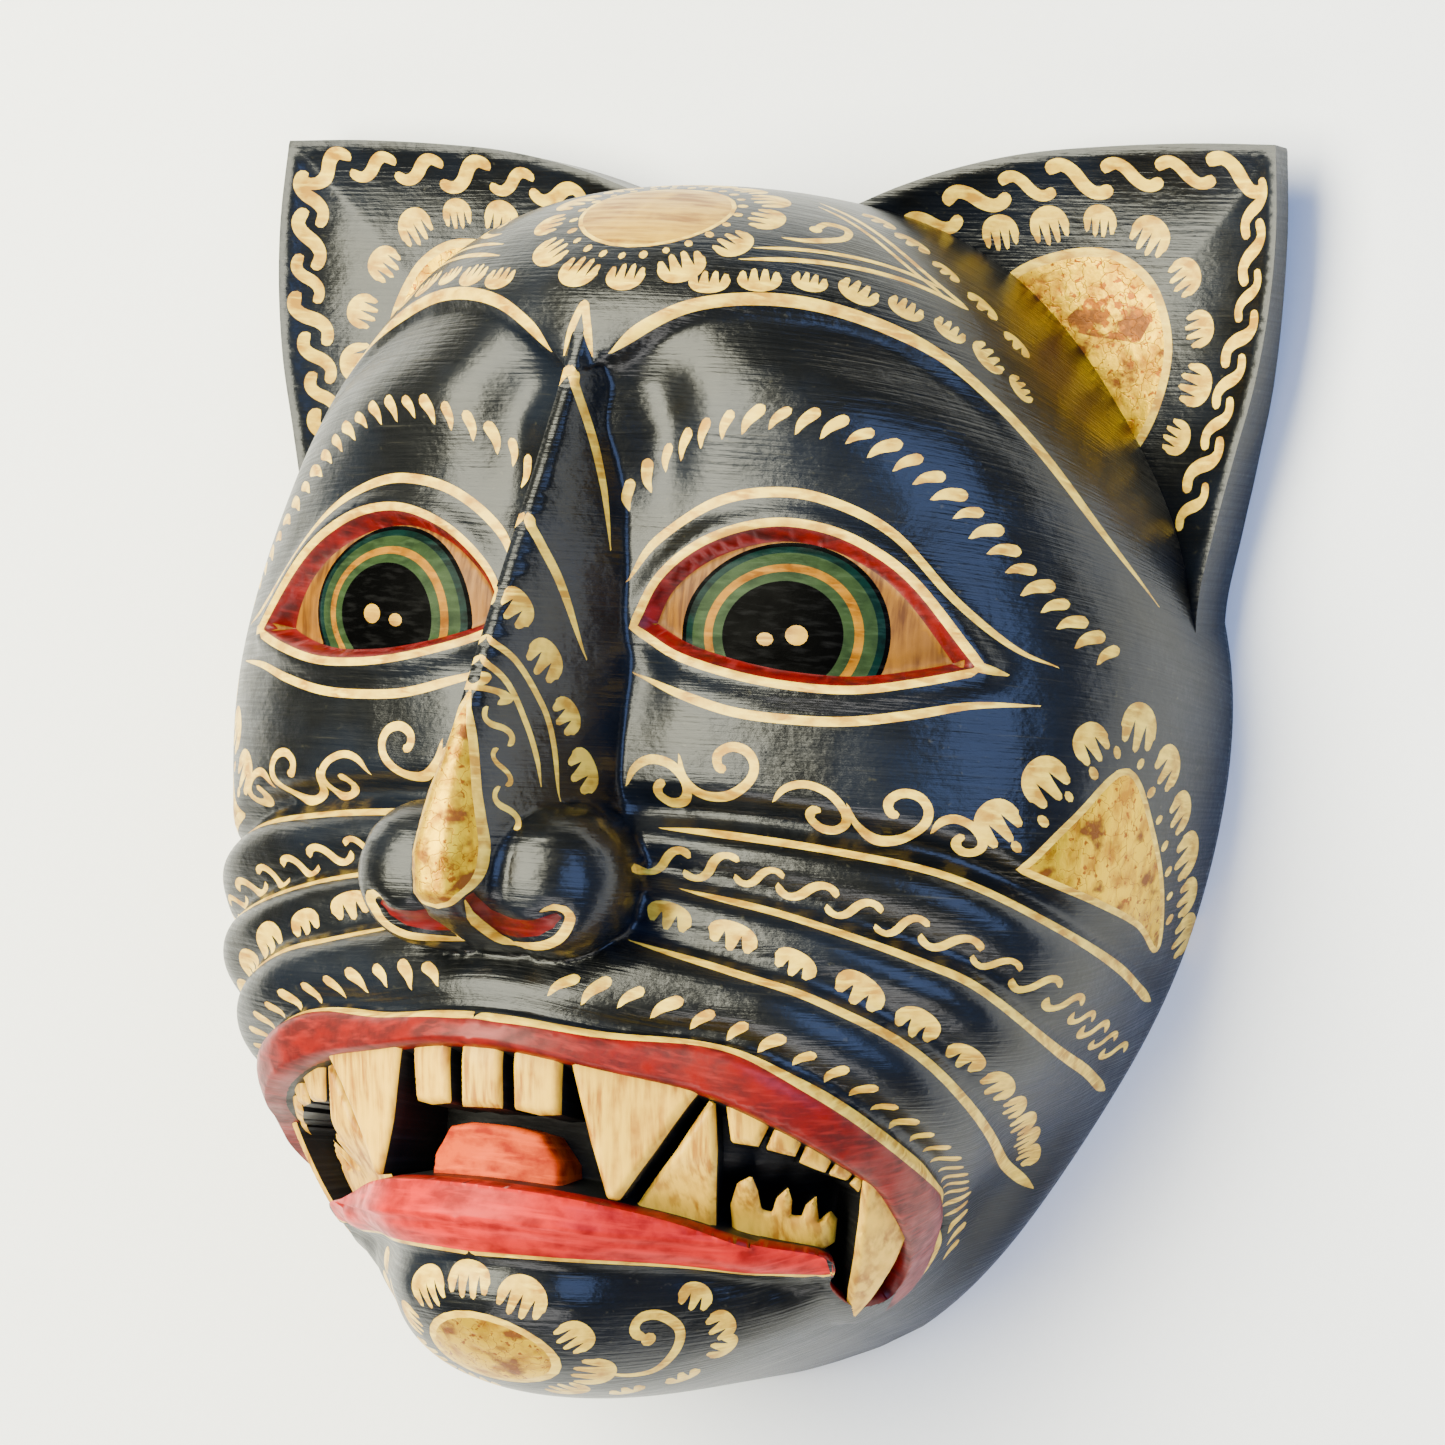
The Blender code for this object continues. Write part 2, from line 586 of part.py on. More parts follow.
def make_head(material):
    """Carved front, flat back rim and hollow, closed into one body."""
    points, flat, faces = front_mesh()
    angle = np.arctan2(flat[:, 0], flat[:, 1]) % (2 * math.pi)
    from_rim = UNROLLING.reach(np.minimum(angle, 2 * math.pi - angle)) - np.hypot(flat[:, 0], flat[:, 1])
    rim = sorted(np.where(from_rim < 0.01)[0], key=lambda index: angle[index])
    points = points * SCALE
    outline = points[rim]
    rings = []
    corners = list(points)
    for ring in range(HOLLOW_RINGS):
        turn = ring / HOLLOW_RINGS * math.pi / 2
        reach = np.hypot(outline[:, 0], outline[:, 1])
        shrink = (reach - WALL) / reach * math.cos(turn) ** HOLLOW_FULLNESS
        rings.append(list(range(len(corners), len(corners) + len(rim))))
        height = HOLLOW_DEPTH * math.sin(turn)
        corners += [(x * s, y * s, height) for (x, y, _), s in zip(outline, shrink)]
    corners.append((0.0, 0.0, HOLLOW_DEPTH))
    middle = len(corners) - 1
    faces = [list(face) for face in faces]
    for upper, lower in zip([rim] + rings, rings):
        for i in range(len(rim)):
            j = (i + 1) % len(rim)
            faces.append([upper[i], upper[j], lower[j], lower[i]])
    for i in range(len(rim)):
        faces.append([rings[-1][i], rings[-1][(i + 1) % len(rim)], middle])
    return add_object("cat_mask", corners, faces, material)


def tooth_block(name, ring, front, back, material):
    """A prism between two rings of points."""
    count = len(ring)
    faces = [list(range(count)), [count + i for i in reversed(range(count))]]
    for i in range(count):
        j = (i + 1) % count
        faces.append([i, j, count + j, count + i])
    block = add_object(name, np.vstack([front, back]) * SCALE, faces, material)
    work = bmesh.new()
    work.from_mesh(block.data)
    bmesh.ops.triangulate(work, faces=work.faces)
    work.to_mesh(block.data)
    work.free()
    return block


def make_tooth(outline, sink, side, material, jaw=False):
    """A tooth or the tongue: its outline on the unrolled face, cut back to the floor of the mouth."""
    ring = np.array(outline, float) * (side, 1.0)
    shift = jaw_shift(ring[:, 0], ring[:, 1]) * jaw
    front = at_depth(ring, TOOTH_SINK * 1000.0 + sink) + shift
    back = at_depth(ring, (MOUTH_DEPTH + TOOTH_ROOT) * 1000.0) + shift
    return tooth_block("tooth", ring, front, back, material)


def make_tusk(side, material):
    ring = np.array(TUSK, float) * (side, 1.0)
    low = ease(-ring[:, 1], TUSK_TOP, TUSK_FOOT)
    shift = fall_back(ring[:, 0], TUSK_BACK * low)
    front = at_depth(ring, TOOTH_SINK * 1000.0 + TUSK_SINK - TUSK_RISE * low) + shift
    back = at_depth(ring, (MOUTH_DEPTH + TOOTH_ROOT) * 1000.0) + shift
    return tooth_block("tusk", ring, front, back, material)


def ear_front(x, y, edge, tip):
    """Height of an ear's front: a valley from the tip, down into a cup beside the head."""
    top = nearest_on(edge[:tip + 1], x, y)[1]
    outer = nearest_on(edge[tip:], x, y)[1]
    nearer = np.minimum(np.abs(top), np.abs(outer))
    sunk = EAR_CUP * 1000.0 * (1.0 - np.exp(-np.maximum(nearer - 1.5, 0.0) / 11.0))
    return EAR_RELIEF * 1000.0 - sunk


def make_ear(side, material):
    """One ear: a plate from inside the head's wall out to the ear's edge, scooped in front."""
    parts = 2
    edge = smooth_line(EAR_EDGE_LINE[:EAR_TIP + 1], parts)
    edge = np.vstack([edge[:-1], smooth_line(EAR_EDGE_LINE[EAR_TIP:], parts)])
    tip = EAR_TIP * parts
    angle = np.linspace(math.atan2(*edge[0]), math.atan2(*edge[-1]), len(edge))
    root_reach = rim_reach(angle) - WALL * 1000.0 * 0.5
    root = np.stack([np.sin(angle) * root_reach, np.cos(angle) * root_reach], axis=1)
    count = len(edge)
    front = []
    back = []
    for row in range(EAR_ROWS + 1):
        share = row / EAR_ROWS
        line = root + (edge - root) * share
        top = ear_front(line[:, 0], line[:, 1], edge, tip)
        away = np.hypot(line[:, 0], line[:, 1]) - rim_reach(np.arctan2(line[:, 0], line[:, 1]))
        rise = (EAR_RELIEF - EAR_EDGE - EAR_LIFT) * 1000.0 * ease(away, 4.0, 46.0)
        floor = EAR_LIFT * 1000.0 + rise
        front += [(x * side, y, z) for (x, y), z in zip(line, top)]
        back += [(x * side, y, z) for (x, y), z in zip(line, np.minimum(floor, top - 2.5))]
    faces = []
    shift = len(front)
    for row in range(EAR_ROWS):
        for i in range(count - 1):
            a = row * count + i
            faces.append([a, a + 1, a + 1 + count, a + count])
            faces.append([shift + a, shift + a + count, shift + a + 1 + count, shift + a + 1])
    last = EAR_ROWS * count
    for i in range(count - 1):
        faces.append([i, shift + i, shift + i + 1, i + 1])
        faces.append([last + i, last + i + 1, shift + last + i + 1, shift + last + i])
    for row in range(EAR_ROWS):
        for i in (row * count, row * count + count - 1):
            faces.append([i, i + count, shift + i + count, shift + i])
    return add_object("ear", np.array(front + back) * SCALE, faces, material)


def lacquered_wood():
    material = bpy.data.materials.new("lacquered_wood")
    material.use_nodes = True
    shader = material.node_tree.nodes["Principled BSDF"]
    shader.inputs["Base Color"].default_value = LACQUER
    shader.inputs["Roughness"].default_value = LACQUER_GLOSS
    shader.inputs["Metallic"].default_value = 0.0
    return material


def join(body, parts):
    """Unite the parts with the body, one after another, and drop them."""
    for part in parts:
        union = body.modifiers.new("union", "BOOLEAN")
        union.operation = "UNION"
        union.solver = "EXACT"
        union.object = part
        bpy.context.view_layer.update()
        evaluated = body.evaluated_get(bpy.context.evaluated_depsgraph_get())
        mesh = bpy.data.meshes.new_from_object(evaluated)
        body.modifiers.clear()
        body.data = mesh
        bpy.data.objects.remove(part)


def main():
    for item in list(bpy.data.objects):
        bpy.data.objects.remove(item)
    material = lacquered_wood()
    head = make_head(material)
    parts = [make_tooth(MIDDLE_TOOTH, 0.0, 1.0, material)]
    parts.append(make_tooth(TONGUE, TONGUE_SINK * 1000.0, 1.0, material))
    for side in (1.0, -1.0):
        for outline, sink in UPPER_TEETH:
            parts.append(make_tooth(outline, sink, side, material))
        for outline, sink in LOWER_TEETH:
            parts.append(make_tooth(outline, sink, side, material, jaw=True))
        parts.append(make_tusk(side, material))
        parts.append(make_ear(side, material))
    join(head, parts)
    heights = [corner.co.y for corner in head.data.vertices]
    shift = (max(heights) + min(heights)) / 2
    for corner in head.data.vertices:
        corner.co.y -= shift
    head.data.name = head.name


main()
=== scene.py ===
"""The painted demon cat mask: black lacquer, cream ornament, gold leaf, red lips and bared teeth."""

import math

import bpy
import numpy as np
from mathutils import Matrix, Vector
from mathutils.geometry import delaunay_2d_cdt
from mathutils.kdtree import KDTree


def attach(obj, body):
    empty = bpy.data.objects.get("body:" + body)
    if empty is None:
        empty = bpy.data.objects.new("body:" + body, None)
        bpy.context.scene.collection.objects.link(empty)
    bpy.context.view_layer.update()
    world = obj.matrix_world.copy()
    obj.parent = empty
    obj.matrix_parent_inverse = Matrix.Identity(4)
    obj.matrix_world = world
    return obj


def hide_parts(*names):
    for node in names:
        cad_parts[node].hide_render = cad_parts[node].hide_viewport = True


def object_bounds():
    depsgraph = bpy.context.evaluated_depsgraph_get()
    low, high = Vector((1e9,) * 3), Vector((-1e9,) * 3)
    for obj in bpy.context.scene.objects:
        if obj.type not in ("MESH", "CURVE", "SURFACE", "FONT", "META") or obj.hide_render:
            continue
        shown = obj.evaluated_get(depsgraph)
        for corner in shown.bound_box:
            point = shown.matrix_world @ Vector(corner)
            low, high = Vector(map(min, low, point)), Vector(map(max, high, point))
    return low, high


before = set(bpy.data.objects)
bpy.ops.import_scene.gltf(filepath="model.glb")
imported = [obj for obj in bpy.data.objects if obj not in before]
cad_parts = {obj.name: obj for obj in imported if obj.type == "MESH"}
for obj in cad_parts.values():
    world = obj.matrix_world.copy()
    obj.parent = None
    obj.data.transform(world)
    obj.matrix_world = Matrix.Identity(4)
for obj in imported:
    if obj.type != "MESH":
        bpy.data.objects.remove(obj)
cad_low, cad_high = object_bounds()

# The form is drawn in millimetres for a head of these sizes, and scaled to the frame's box
DRAWN_LOW = np.array([-106.0, -113.8, 0.0])
DRAWN_HIGH = np.array([106.0, 119.2, 117.73])
SCALE = (np.array(cad_high) - np.array(cad_low)) / (DRAWN_HIGH - DRAWN_LOW)
SHIFT = np.array(cad_low) - DRAWN_LOW * SCALE

# Fineness of the surface, in drawn millimetres
NET = 1.15  # between points of the open surface
LINE_STEP = 0.8  # along painted edges
NOSE_STEP = 0.35  # along those on the nose, where the face is steep
NOSE_MIDDLE = (0.0, 24.0)
NOSE_REACH = (16.0, 62.0)
RIM_STEPS = 240
STAMP_STEP = 0.45  # along the outlines of small shapes
NORMAL_SPAN = 0.35  # half the length over which the head's slope is taken
CHART_SPAN = 0.4  # and a painted surface's
LEAST_STRETCH = 0.6  # of the unrolled face, for the shapes painted on it
UNEVEN = 0.10  # share by which rows of small shapes differ in size and turn
CHART_SIZE = 300.0  # millimetres of the unrolled face over the whole chart
MILLIMETRES = 1000.0  # in a metre

# The hollow of the back and the floor of the mouth
WALL = 13.0
HOLLOW_DEPTH = 54.0
HOLLOW_RINGS = 28
HOLLOW_FULLNESS = 0.75
MOUTH_DEPTH = 16.0
TOOTH_SINK = 2.0

# Back rim, right half, from the crown to the chin: x, y
RIM = (
    (0, 109), (22, 108.5), (39, 102.5), (53, 93.5), (69, 78), (83, 58), (91.5, 42), (96.5, 22),
    (97, 5), (94.5, -12), (89, -30), (83, -44), (76, -58), (67, -72), (55, -87), (41, -101), (24, -111),
    (0, -113),
)
RIM_WAVES = 9

# Crest of the nose, from the brow down to the lip: y, height, half width of the nose there
NOSE = (
    (78, 77, 2.5), (68, 81, 4.0), (50, 89.5, 7.5), (38, 95.5, 10.5), (21.5, 103.5, 12.5), (9, 109.5, 13),
    (-4, 115, 13), (-15, 118, 12.5), (-22, 117, 12), (-26, 112, 12), (-30, 101, 12), (-34, 86, 12),
)
NOSE_FLAT = 1.2
NOSE_SHARES = (0.0, 0.16, 0.35, 0.6, 0.85)
NOSE_FOOT_GAPS = (-1.0, -0.4, 0.1, 0.6, 1.2)

# Balls of the nose's wings, which lean outwards: middle, radius, steepness of the wall under them
WING_MIDDLE = (13.0, -19.1, 95.1)
WING_RADIUS = 13.1
WING_LEAN = math.radians(28.0)
WING_WALL = 9.0
WING_SHARES = (0.4, 0.7, 0.88, 0.97, 1.04)
NOSTRIL = ((-13.5, -4.5), (-10.3, -7.7), (-6.1, -8.9), (-2.2, -8.2), (0.0, -6.0))
NOSTRIL_DEPTH = 2.6
NOSTRIL_REACH = 2.2

# Search for the places on the unrolled face that show at a wanted place
SEARCH_STEPS = 30
WING_SEARCH_STEPS = 90
WING_SEARCH_PACE = 0.25

# Lines on the unrolled face, right half, from the nose outwards: across, up
BROW_LINE = ((6.5, 74.8), (20, 83.8), (38, 87), (56, 84.3), (78, 70.6), (101, 51.5), (116, 43))
FOLD_LINES = (
    ((10, -9), (32.6, -9.4), (54.3, -11.3), (75.1, -15.2), (94.3, -24.7), (114.5, -38.6), (130, -54)),
    ((14, -18), (23.7, -18.9), (49.2, -23.2), (70, -30.3), (84.2, -38.6), (111, -65.4), (124, -84)),
    ((14, -29), (22, -29.8), (41, -33.2), (57.1, -38), (74.8, -50.5), (91.5, -75.9), (108, -118)),
)
FOLD_DEPTHS = (4.4, 2.8, 2.6)

# Round swellings and hollows: height, then place and width across and up
BROW_HUMPS = ((-5.5, 13, 8.5, 60, 15), (2.4, 50, 26, 66, 11), (-3.5, 15, 6, 22, 14))
CHEEK_HUMPS = ((3.8, 84, 22, -40, 26), (-2.0, 92, 20, 34, 26), (-4.5, 98, 20, -118, 28))

# The open eye, right half, on the face seen from the front: x, y
EYE_TOP = ((14, 26.5), (18, 34.5), (26, 41), (36, 44.6), (45, 44.6), (54, 41.6), (63, 35.3), (74, 22.3))
EYE_FOOT = ((74, 22.3), (66, 20), (56, 18), (46, 17.9), (35, 19.2), (23, 22.2), (14, 26.5))
EYE_MIDDLE = (44, 30.5)

# The open mouth on the unrolled face, right half, from the top middle round to the bottom middle
MOUTH = (
    (0, -54.5), (20, -54.2), (40, -55), (53, -60.5), (63, -69.5), (70.5, -81), (75, -98), (75, -112),
    (71, -122), (65, -117), (60.5, -104), (60, -93), (43, -84), (22, -80), (0, -79.5),
)
MOUTH_AIM = np.array([0.0, -72.0, 12.0])
MOUTH_SPREAD = 0.25
JAW_BACK = (-0.48, 0.0, -0.88)
LIP_LINE = ((0, -50), (22, -49.3), (40, -47.5), (52, -51), (66, -62.5), (78, -80), (84.5, -99), (84, -116))
LIP_FOOT = ((0, -91), (20, -91), (41, -92.5), (57, -98))

# Teeth on the unrolled face, right half: outline, and how far the front stands behind the lip
TEETH = (
    (((7.6, -51), (17.4, -51), (16.6, -65), (12.5, -65.8), (7.4, -65.4)), 0.0),
    (((18.5, -51), (31, -51), (42, -52), (38.5, -58.5), (33.3, -68.8), (27.2, -79.6), (25.2, -79.4),
      (22.2, -68.9)), -1.5),
    (((28.6, -82.5), (36, -84.5), (42.8, -86), (43.2, -66.9), (42.6, -57), (41.6, -56.6),
      (36.2, -68.2)), 0.5),
    (((43.6, -52), (53.2, -56), (49.9, -65.2), (45.4, -64.8)), 1.0),
    (((53.8, -56.5), (58.6, -59.6), (55.9, -67.5), (51.1, -65.7)), 1.0),
    (((59.2, -60), (64.2, -65), (61, -72.2), (56.6, -68.9)), 1.0),
    (((64.7, -65.5), (68.4, -70.4), (64.9, -75.4), (61.6, -72.8)), 1.0),
    (((68.8, -71), (72, -77), (68.4, -81.5), (65.3, -76.4)), 1.0),
    (((45.4, -87), (45.2, -79), (46.4, -73.6), (48.8, -71.8), (49.8, -75.2), (50.4, -80), (52.2, -80.8),
      (53, -77.2), (54.9, -74.8), (55.6, -78.2), (55.4, -82), (57.2, -82.6), (58, -79.8), (59.8, -78),
      (60, -81.8), (60.2, -84.8), (62.4, -83), (63.6, -86), (63, -93), (58, -95)), 3.0),
)
MIDDLE_TOOTH = ((-4.4, -51.5), (5.2, -51.5), (4.9, -65.6), (-4.6, -66))
TONGUE = (
    (-15.5, -82), (15.5, -82), (15, -75), (11, -69.5), (5, -68.6), (-5, -68.6), (-11, -69.5), (-15, -75),
)
TONGUE_SINK = 4.0
TEETH_BACK = 20.0
TEETH_ROWS = 5
TOOTH_STEP = 0.7
TOOTH_ROUND = 1.2

# Tusk in the corner of the mouth: its outline, standing further out of the face towards its tip
TUSK = (
    (67.5, -74), (71.5, -78.5), (75.6, -93.5), (72, -102.5), (67.2, -113), (62.6, -120), (62.2, -112),
    (63, -104), (64.7, -95), (66.4, -85),
)
TUSK_RISE = 6.0
TUSK_BACK = 7.5
LOWER_TEETH = (2, 8)
TUSK_TOP = -77.0
TUSK_FOOT = -108.0

# Ear, from where it leaves the crown round to where it meets the cheek: x, y
EAR_EDGE_LINE = (
    (20, 107), (30, 111), (42, 114.6), (56, 117.3), (72, 118.6), (89, 119.2), (105, 119), (106, 104),
    (105.5, 90), (103.6, 76), (100.5, 63), (97.5, 50), (95, 36), (95.5, 22),
)
EAR_TIP = 6
EAR_EDGE = 5.5
EAR_RELIEF = 14.0
EAR_LIFT = 1.0
EAR_CUP = 8.5
EAR_LEAST = 2.5
EAR_ROWS = 4

# Floor, sky and soft lights: name, place, size in metres, power, colour
FLOOR_SIZE = 12.0
SKY_COLOUR = (0.80, 0.86, 1.0)
SKY_STRENGTH = 0.15
LIGHTS_AIM = (0.0, 0.0, 0.05)
LIGHTS = (
    ("window", (-0.36, 0.24, 0.92), (0.72, 1.30), 60.0, (1.0, 0.98, 0.76)),
    ("blue_side", (0.70, 0.20, 0.66), (0.55, 0.90), 9.0, (0.28, 0.46, 1.0)),
    ("low_fill", (0.10, -0.95, 0.70), (0.9, 0.4), 9.0, (1.0, 0.97, 0.92)),
)

# Numbers of the paints, in the order of the palette
(
    LACQUER, CREAM, GOLD, RED, LIP_RED, ROSE, MOUTH_BLACK, EYE_WHITE, EYE_BLACK, TEAL, GREEN, OCHRE,
    BARE_WOOD, TAN, WORN_GOLD,
) = range(15)

# Gloss of the clear coats, and brush marks in millimetres
COAT_ROUGH = 0.22
ALONG_LIP = (16.0, 1.4, 1.0)
ALONG_TONGUE = (12.0, 1.4, 1.0)

# Painted lines and rows, right half of the unrolled face: across, up
BROW_ARC = (
    (5.9, 74.8), (12.6, 80.4), (21.5, 85.0), (34.6, 87.4), (48, 86.6), (62.3, 82.5), (74.9, 74.8),
    (87.6, 65.4), (100.6, 54.8), (115.3, 43.5),
)
BROW_COMMAS = (
    (9.7, 49.8), (16.4, 56.5), (25.8, 61.9), (35.5, 64.4), (46.5, 63.8), (57.1, 60.4), (66.8, 55.2),
    (76.9, 47.9), (86.4, 40.2), (96.6, 32.8), (102.5, 29.3),
)
ABOVE_EYE = (
    (11.3, 34), (16.4, 42.3), (27.4, 49.4), (39, 51.7), (49.1, 50.4), (60.1, 45.6), (71.8, 35), (83.5, 27.6),
    (92.5, 25.1),
)
BELOW_EYE = (
    (13.5, 18.2), (23.5, 14.9), (34.3, 12.2), (45.9, 11.5), (55.9, 11.9), (66.8, 13.9), (77, 16.3),
    (89.4, 17.4),
)
EYE_TAIL = ((73, 24.5), (77.1, 23.2), (83, 22.4))
CROWN_PETALS = ((22, 90.2), (32.2, 92), (42, 93), (51.9, 92.2), (61.4, 90.6), (70.5, 87.6), (79, 82.5))
CROWN_LINE = ((25.5, 95.8), (35.6, 97.6), (46, 98.9), (57, 99.4), (66.5, 98.6))
CROWN_SLOPE = ((31.4, 125.3), (39, 120.5), (46.1, 114.8), (57.5, 104.6), (66.5, 98.6))
CROWN_LEAVES = ((44, 124), (54.8, 115), (62.4, 108), (69.6, 102.4), (77, 95.8))
CROWN_SCROLL = ((31, 103.6), (36, 104.2), (41.2, 107.5), (41, 111.8), (37, 112.3), (35.8, 108.8))
MEDALLION = (3.8, 109.8)
WAVE_ROW = (
    (23.0, -14.8), (33.9, -15.3), (48.6, -17.9), (63, -22.6), (77.1, -27.8), (93.3, -37.2), (108, -50.5),
    (122, -67),
)
FOLD_PETALS = (
    (27.7, -24.9), (37.5, -26.8), (49.9, -30.8), (59.4, -34.6), (68.6, -40.3), (77.1, -47), (85.7, -55.8),
    (94.5, -68.2), (103, -86), (107.5, -103),
)
LIP_COMMAS = (
    (15, -41.1), (26, -40.6), (35.7, -41.6), (47.9, -44.4), (56.6, -48.4), (64.9, -54.4), (73.2, -64.2),
    (81.7, -76), (88, -93), (90.8, -108), (90.4, -123), (87.5, -131),
)
CHEEK_SCROLLS = (
    ((20.0, -0.9), 12, 12.5, 1), ((31.0, 2.0), -20, 15.5, -1), ((48.6, -3.6), -2, 14.5, 1),
    ((62.4, -4.4), -15, 15.5, -1), ((75.0, -7.4), 0, 10.0, 1),
)
FOLD_STARTS = ((21.0, -9.0), (27.5, -19.4), (22.5, -29.9))
NOSTRIL_LINE = (
    (5.3, -24.2), (4.9, -29.6), (5.2, -33.2), (7.1, -33.8), (9.6, -33.2), (11.5, -30.7), (12.0, -27.0),
    (11.7, -24.7), (11.2, -24.2), (10.5, -25.6),
)
NOSTRIL_RED = (
    (5.4, -23.8), (5.7, -28.6), (6.1, -31.7), (8.0, -32.0), (9.9, -31.0), (11.1, -28.9), (11.6, -26.5),
    (11.3, -25.5), (10.8, -26.4), (10.0, -27.6), (8.8, -27.7), (7.3, -26.2), (6.3, -22.4),
)
CHEEK_GOLD = (
    (86.9, -13.2), (97, -3.2), (108.4, 6.5), (117, -6), (123.5, -21), (126.4, -36.8), (117, -27.8),
    (103, -20.2),
)
CHEEK_PETALS = (
    (82.6, -5.2), (89.2, 1), (96.2, 7.2), (104.0, 13.6), (112.8, 14.4), (121, 6), (128, -6.4), (133, -20.4),
    (135.9, -36),
)
CHEEK_DOTS = (
    (85.6, -8.9), (90.2, -4.3), (95, 0.4), (100.2, 5.4), (105.2, 10), (110.4, 9.6), (115.4, 2.6),
    (120.6, -6.6), (125.2, -17), (128.8, -29),
)
UPPER_LIP = (
    (0, -50.9), (6.8, -50.9), (22.7, -49.4), (39.9, -47.1), (51.2, -50.5), (64.6, -61.5), (77.3, -79.1),
    (85.4, -98), (86.6, -112), (83.5, -124), (76, -131.5), (68.5, -131),
)
LOWER_LIP = ((0, -91.6), (17.8, -91), (29.1, -91.1), (40.2, -92.1), (51, -94.3), (59, -98), (62.6, -97))
CHIN_OVAL = (0.0, -113.0)
CHIN_SCROLL = (
    (19.5, -117.5), (23.5, -120.4), (28.5, -119.6), (33.4, -113), (35.2, -106.5), (32.8, -102.6),
    (29.5, -103), (28.1, -106.4), (29.9, -108.6),
)
CHIN_PETALS = (
    ((38.6, -99.8), 150), ((41.4, -107.5), 100), ((40.5, -114.5), 60), ((31.5, -126), 30),
    ((20.5, -129.5), 20),
)
NOSE_TOP_V = ((0, 84.7), (1.6, 79.5), (3, 74.2))
NOSE_CHEVRONS = (
    ((0.2, 72.5), (4.2, 60.9), (7.3, 48.6), (9.3, 39.5)),
    ((0.3, 45.2), (3, 40), (6.0, 32.6), (9.6, 19.8)),
)
NOSE_ARCS = (
    ((0, 23.2), (3.8, 19.2), (6.9, 11.5), (9, 3.4), (10.6, -5.3)),
    ((0, 19.6), (3.4, 15.7), (5.9, 8.9), (8.0, 2.2), (9.2, -2.9)),
)
NOSE_PETALS = ((2.4, 28), (6, 19.5), (8.9, 9.3), (11.1, 0.1))
NOSE_WAVE = ((1.0, 14), (3.4, 9.5), (5.2, 3), (7.4, -6.5))
NOSE_DROP = ((0, 14.0), (1.7, 9), (3.9, 1.0), (6.2, -8), (7.4, -15), (6.6, -21), (3.8, -25.2), (0, -26.6))

# Eye rings, as shares of the iris, from its edge inwards
IRIS_MIDDLE = (41.6, 26.2)
IRIS_REACH = (19.6, 17.2)
IRIS_TILT = 8.0
IRIS_RINGS = (
    (1.0, EYE_BLACK), (0.955, TEAL), (0.885, GREEN), (0.76, OCHRE), (0.675, GREEN), (0.575, EYE_BLACK),
)
EYE_GLINTS = (((44.4, 26.5), 2.1, 1.8), ((38.6, 25.5), 1.6, 1.2))

# Painted rows on the right ear, in plan: x, y
EAR_WAVE_TOP = (
    (35, 104.5), (42, 108.2), (51, 110.8), (61, 112.4), (71, 113.4), (81, 114), (90, 114.2), (97, 113.8),
)
EAR_WAVE_SIDE = (
    (100.6, 108), (100.6, 100.2), (100.3, 91.2), (99, 83), (97.3, 76), (95.6, 69), (93.4, 61.8),
    (91.6, 54),
)
EAR_PETALS = (
    (48.8, 102.6), (58.3, 104), (68.9, 105), (79.6, 101.8), (85.9, 94.4), (89.2, 85.3), (89, 75.9),
    (85.9, 66.6),
)
EAR_WORN = ((60, 86), (71.5, 96.4), (79.6, 88.4), (77, 83.5), (68, 84.5))
EAR_GOLD = (
    (45, 88), (51.3, 95.6), (61.1, 99.3), (70.3, 99.7), (77.3, 96), (81.3, 89.9), (83.2, 82.1), (81.8, 73.1),
    (78, 65), (72, 60), (60, 70),
)
EAR_VALLEY = ((50, 72), (76.8, 97), (103, 117.5))

# Camera, solved from the photograph: turn, tilt and roll in degrees, place in drawn millimetres
CAMERA_TURN = 28.5
CAMERA_TILT = 0.3
CAMERA_ROLL = 3.3
CAMERA_PLACE = (501.75, 15.37, 939.35)
CAMERA_FOCAL_PIXELS = 5601.0
PHOTO_PIXELS = 1445.0
SENSOR_WIDTH = 36.0


def ease(value, start, stop):
    """0 before start, 1 after stop, smooth between."""
    share = np.clip((value - start) / (stop - start), 0.0, 1.0)
    return share * share * (3.0 - 2.0 * share)


def bell(value, width):
    return np.exp(-((value / width) ** 2))


def humps(rows, side, up):
    """The sum of round swellings and hollows."""
    return sum(high * bell(side - x, width) * bell(up - y, rise) for high, x, width, y, rise in rows)


def pair(first, second):
    """Two rows of numbers as one row of points."""
    return np.stack([first, second], axis=-1)


def unit(rows):
    return rows / np.maximum(np.linalg.norm(rows, axis=1), 1e-9)[:, None]


def push(across, amount, direction):
    """Shifts by an amount along a direction, which is mirrored on the left half."""
    shift = np.outer(amount, direction)
    shift[across < 0, 0] *= -1.0
    return shift


def oval(width, height, parts, start=0.0, stop=360.0):
    """Points round an oval of these half sizes, from one angle in degrees to another."""
    turn = np.radians(np.linspace(start, stop, parts))
    return pair(width * np.cos(turn), height * np.sin(turn))


def blend_max(first, second, radius):
    """The higher of two surfaces, with their meeting line rounded."""
    gap = np.clip(1.0 - np.abs(first - second) / radius, 0.0, 1.0)
    return np.maximum(first, second) + radius * gap * gap / 4.0


def smooth_line(points, parts):
    """A Catmull-Rom line through the points, with so many parts between each two."""
    points = np.array(points, float)
    padded = np.vstack([2 * points[0] - points[1], points, 2 * points[-1] - points[-2]])
    line = []
    for before, start, stop, after in zip(padded, padded[1:], padded[2:], padded[3:]):
        for part in range(parts):
            t = part / parts
            line.append(
                0.5 * (2 * start + (stop - before) * t + (2 * before - 5 * start + 4 * stop - after) * t * t
                       + (3 * start - before - 3 * stop + after) * t ** 3)
            )
    line.append(points[-1])
    return np.array(line)


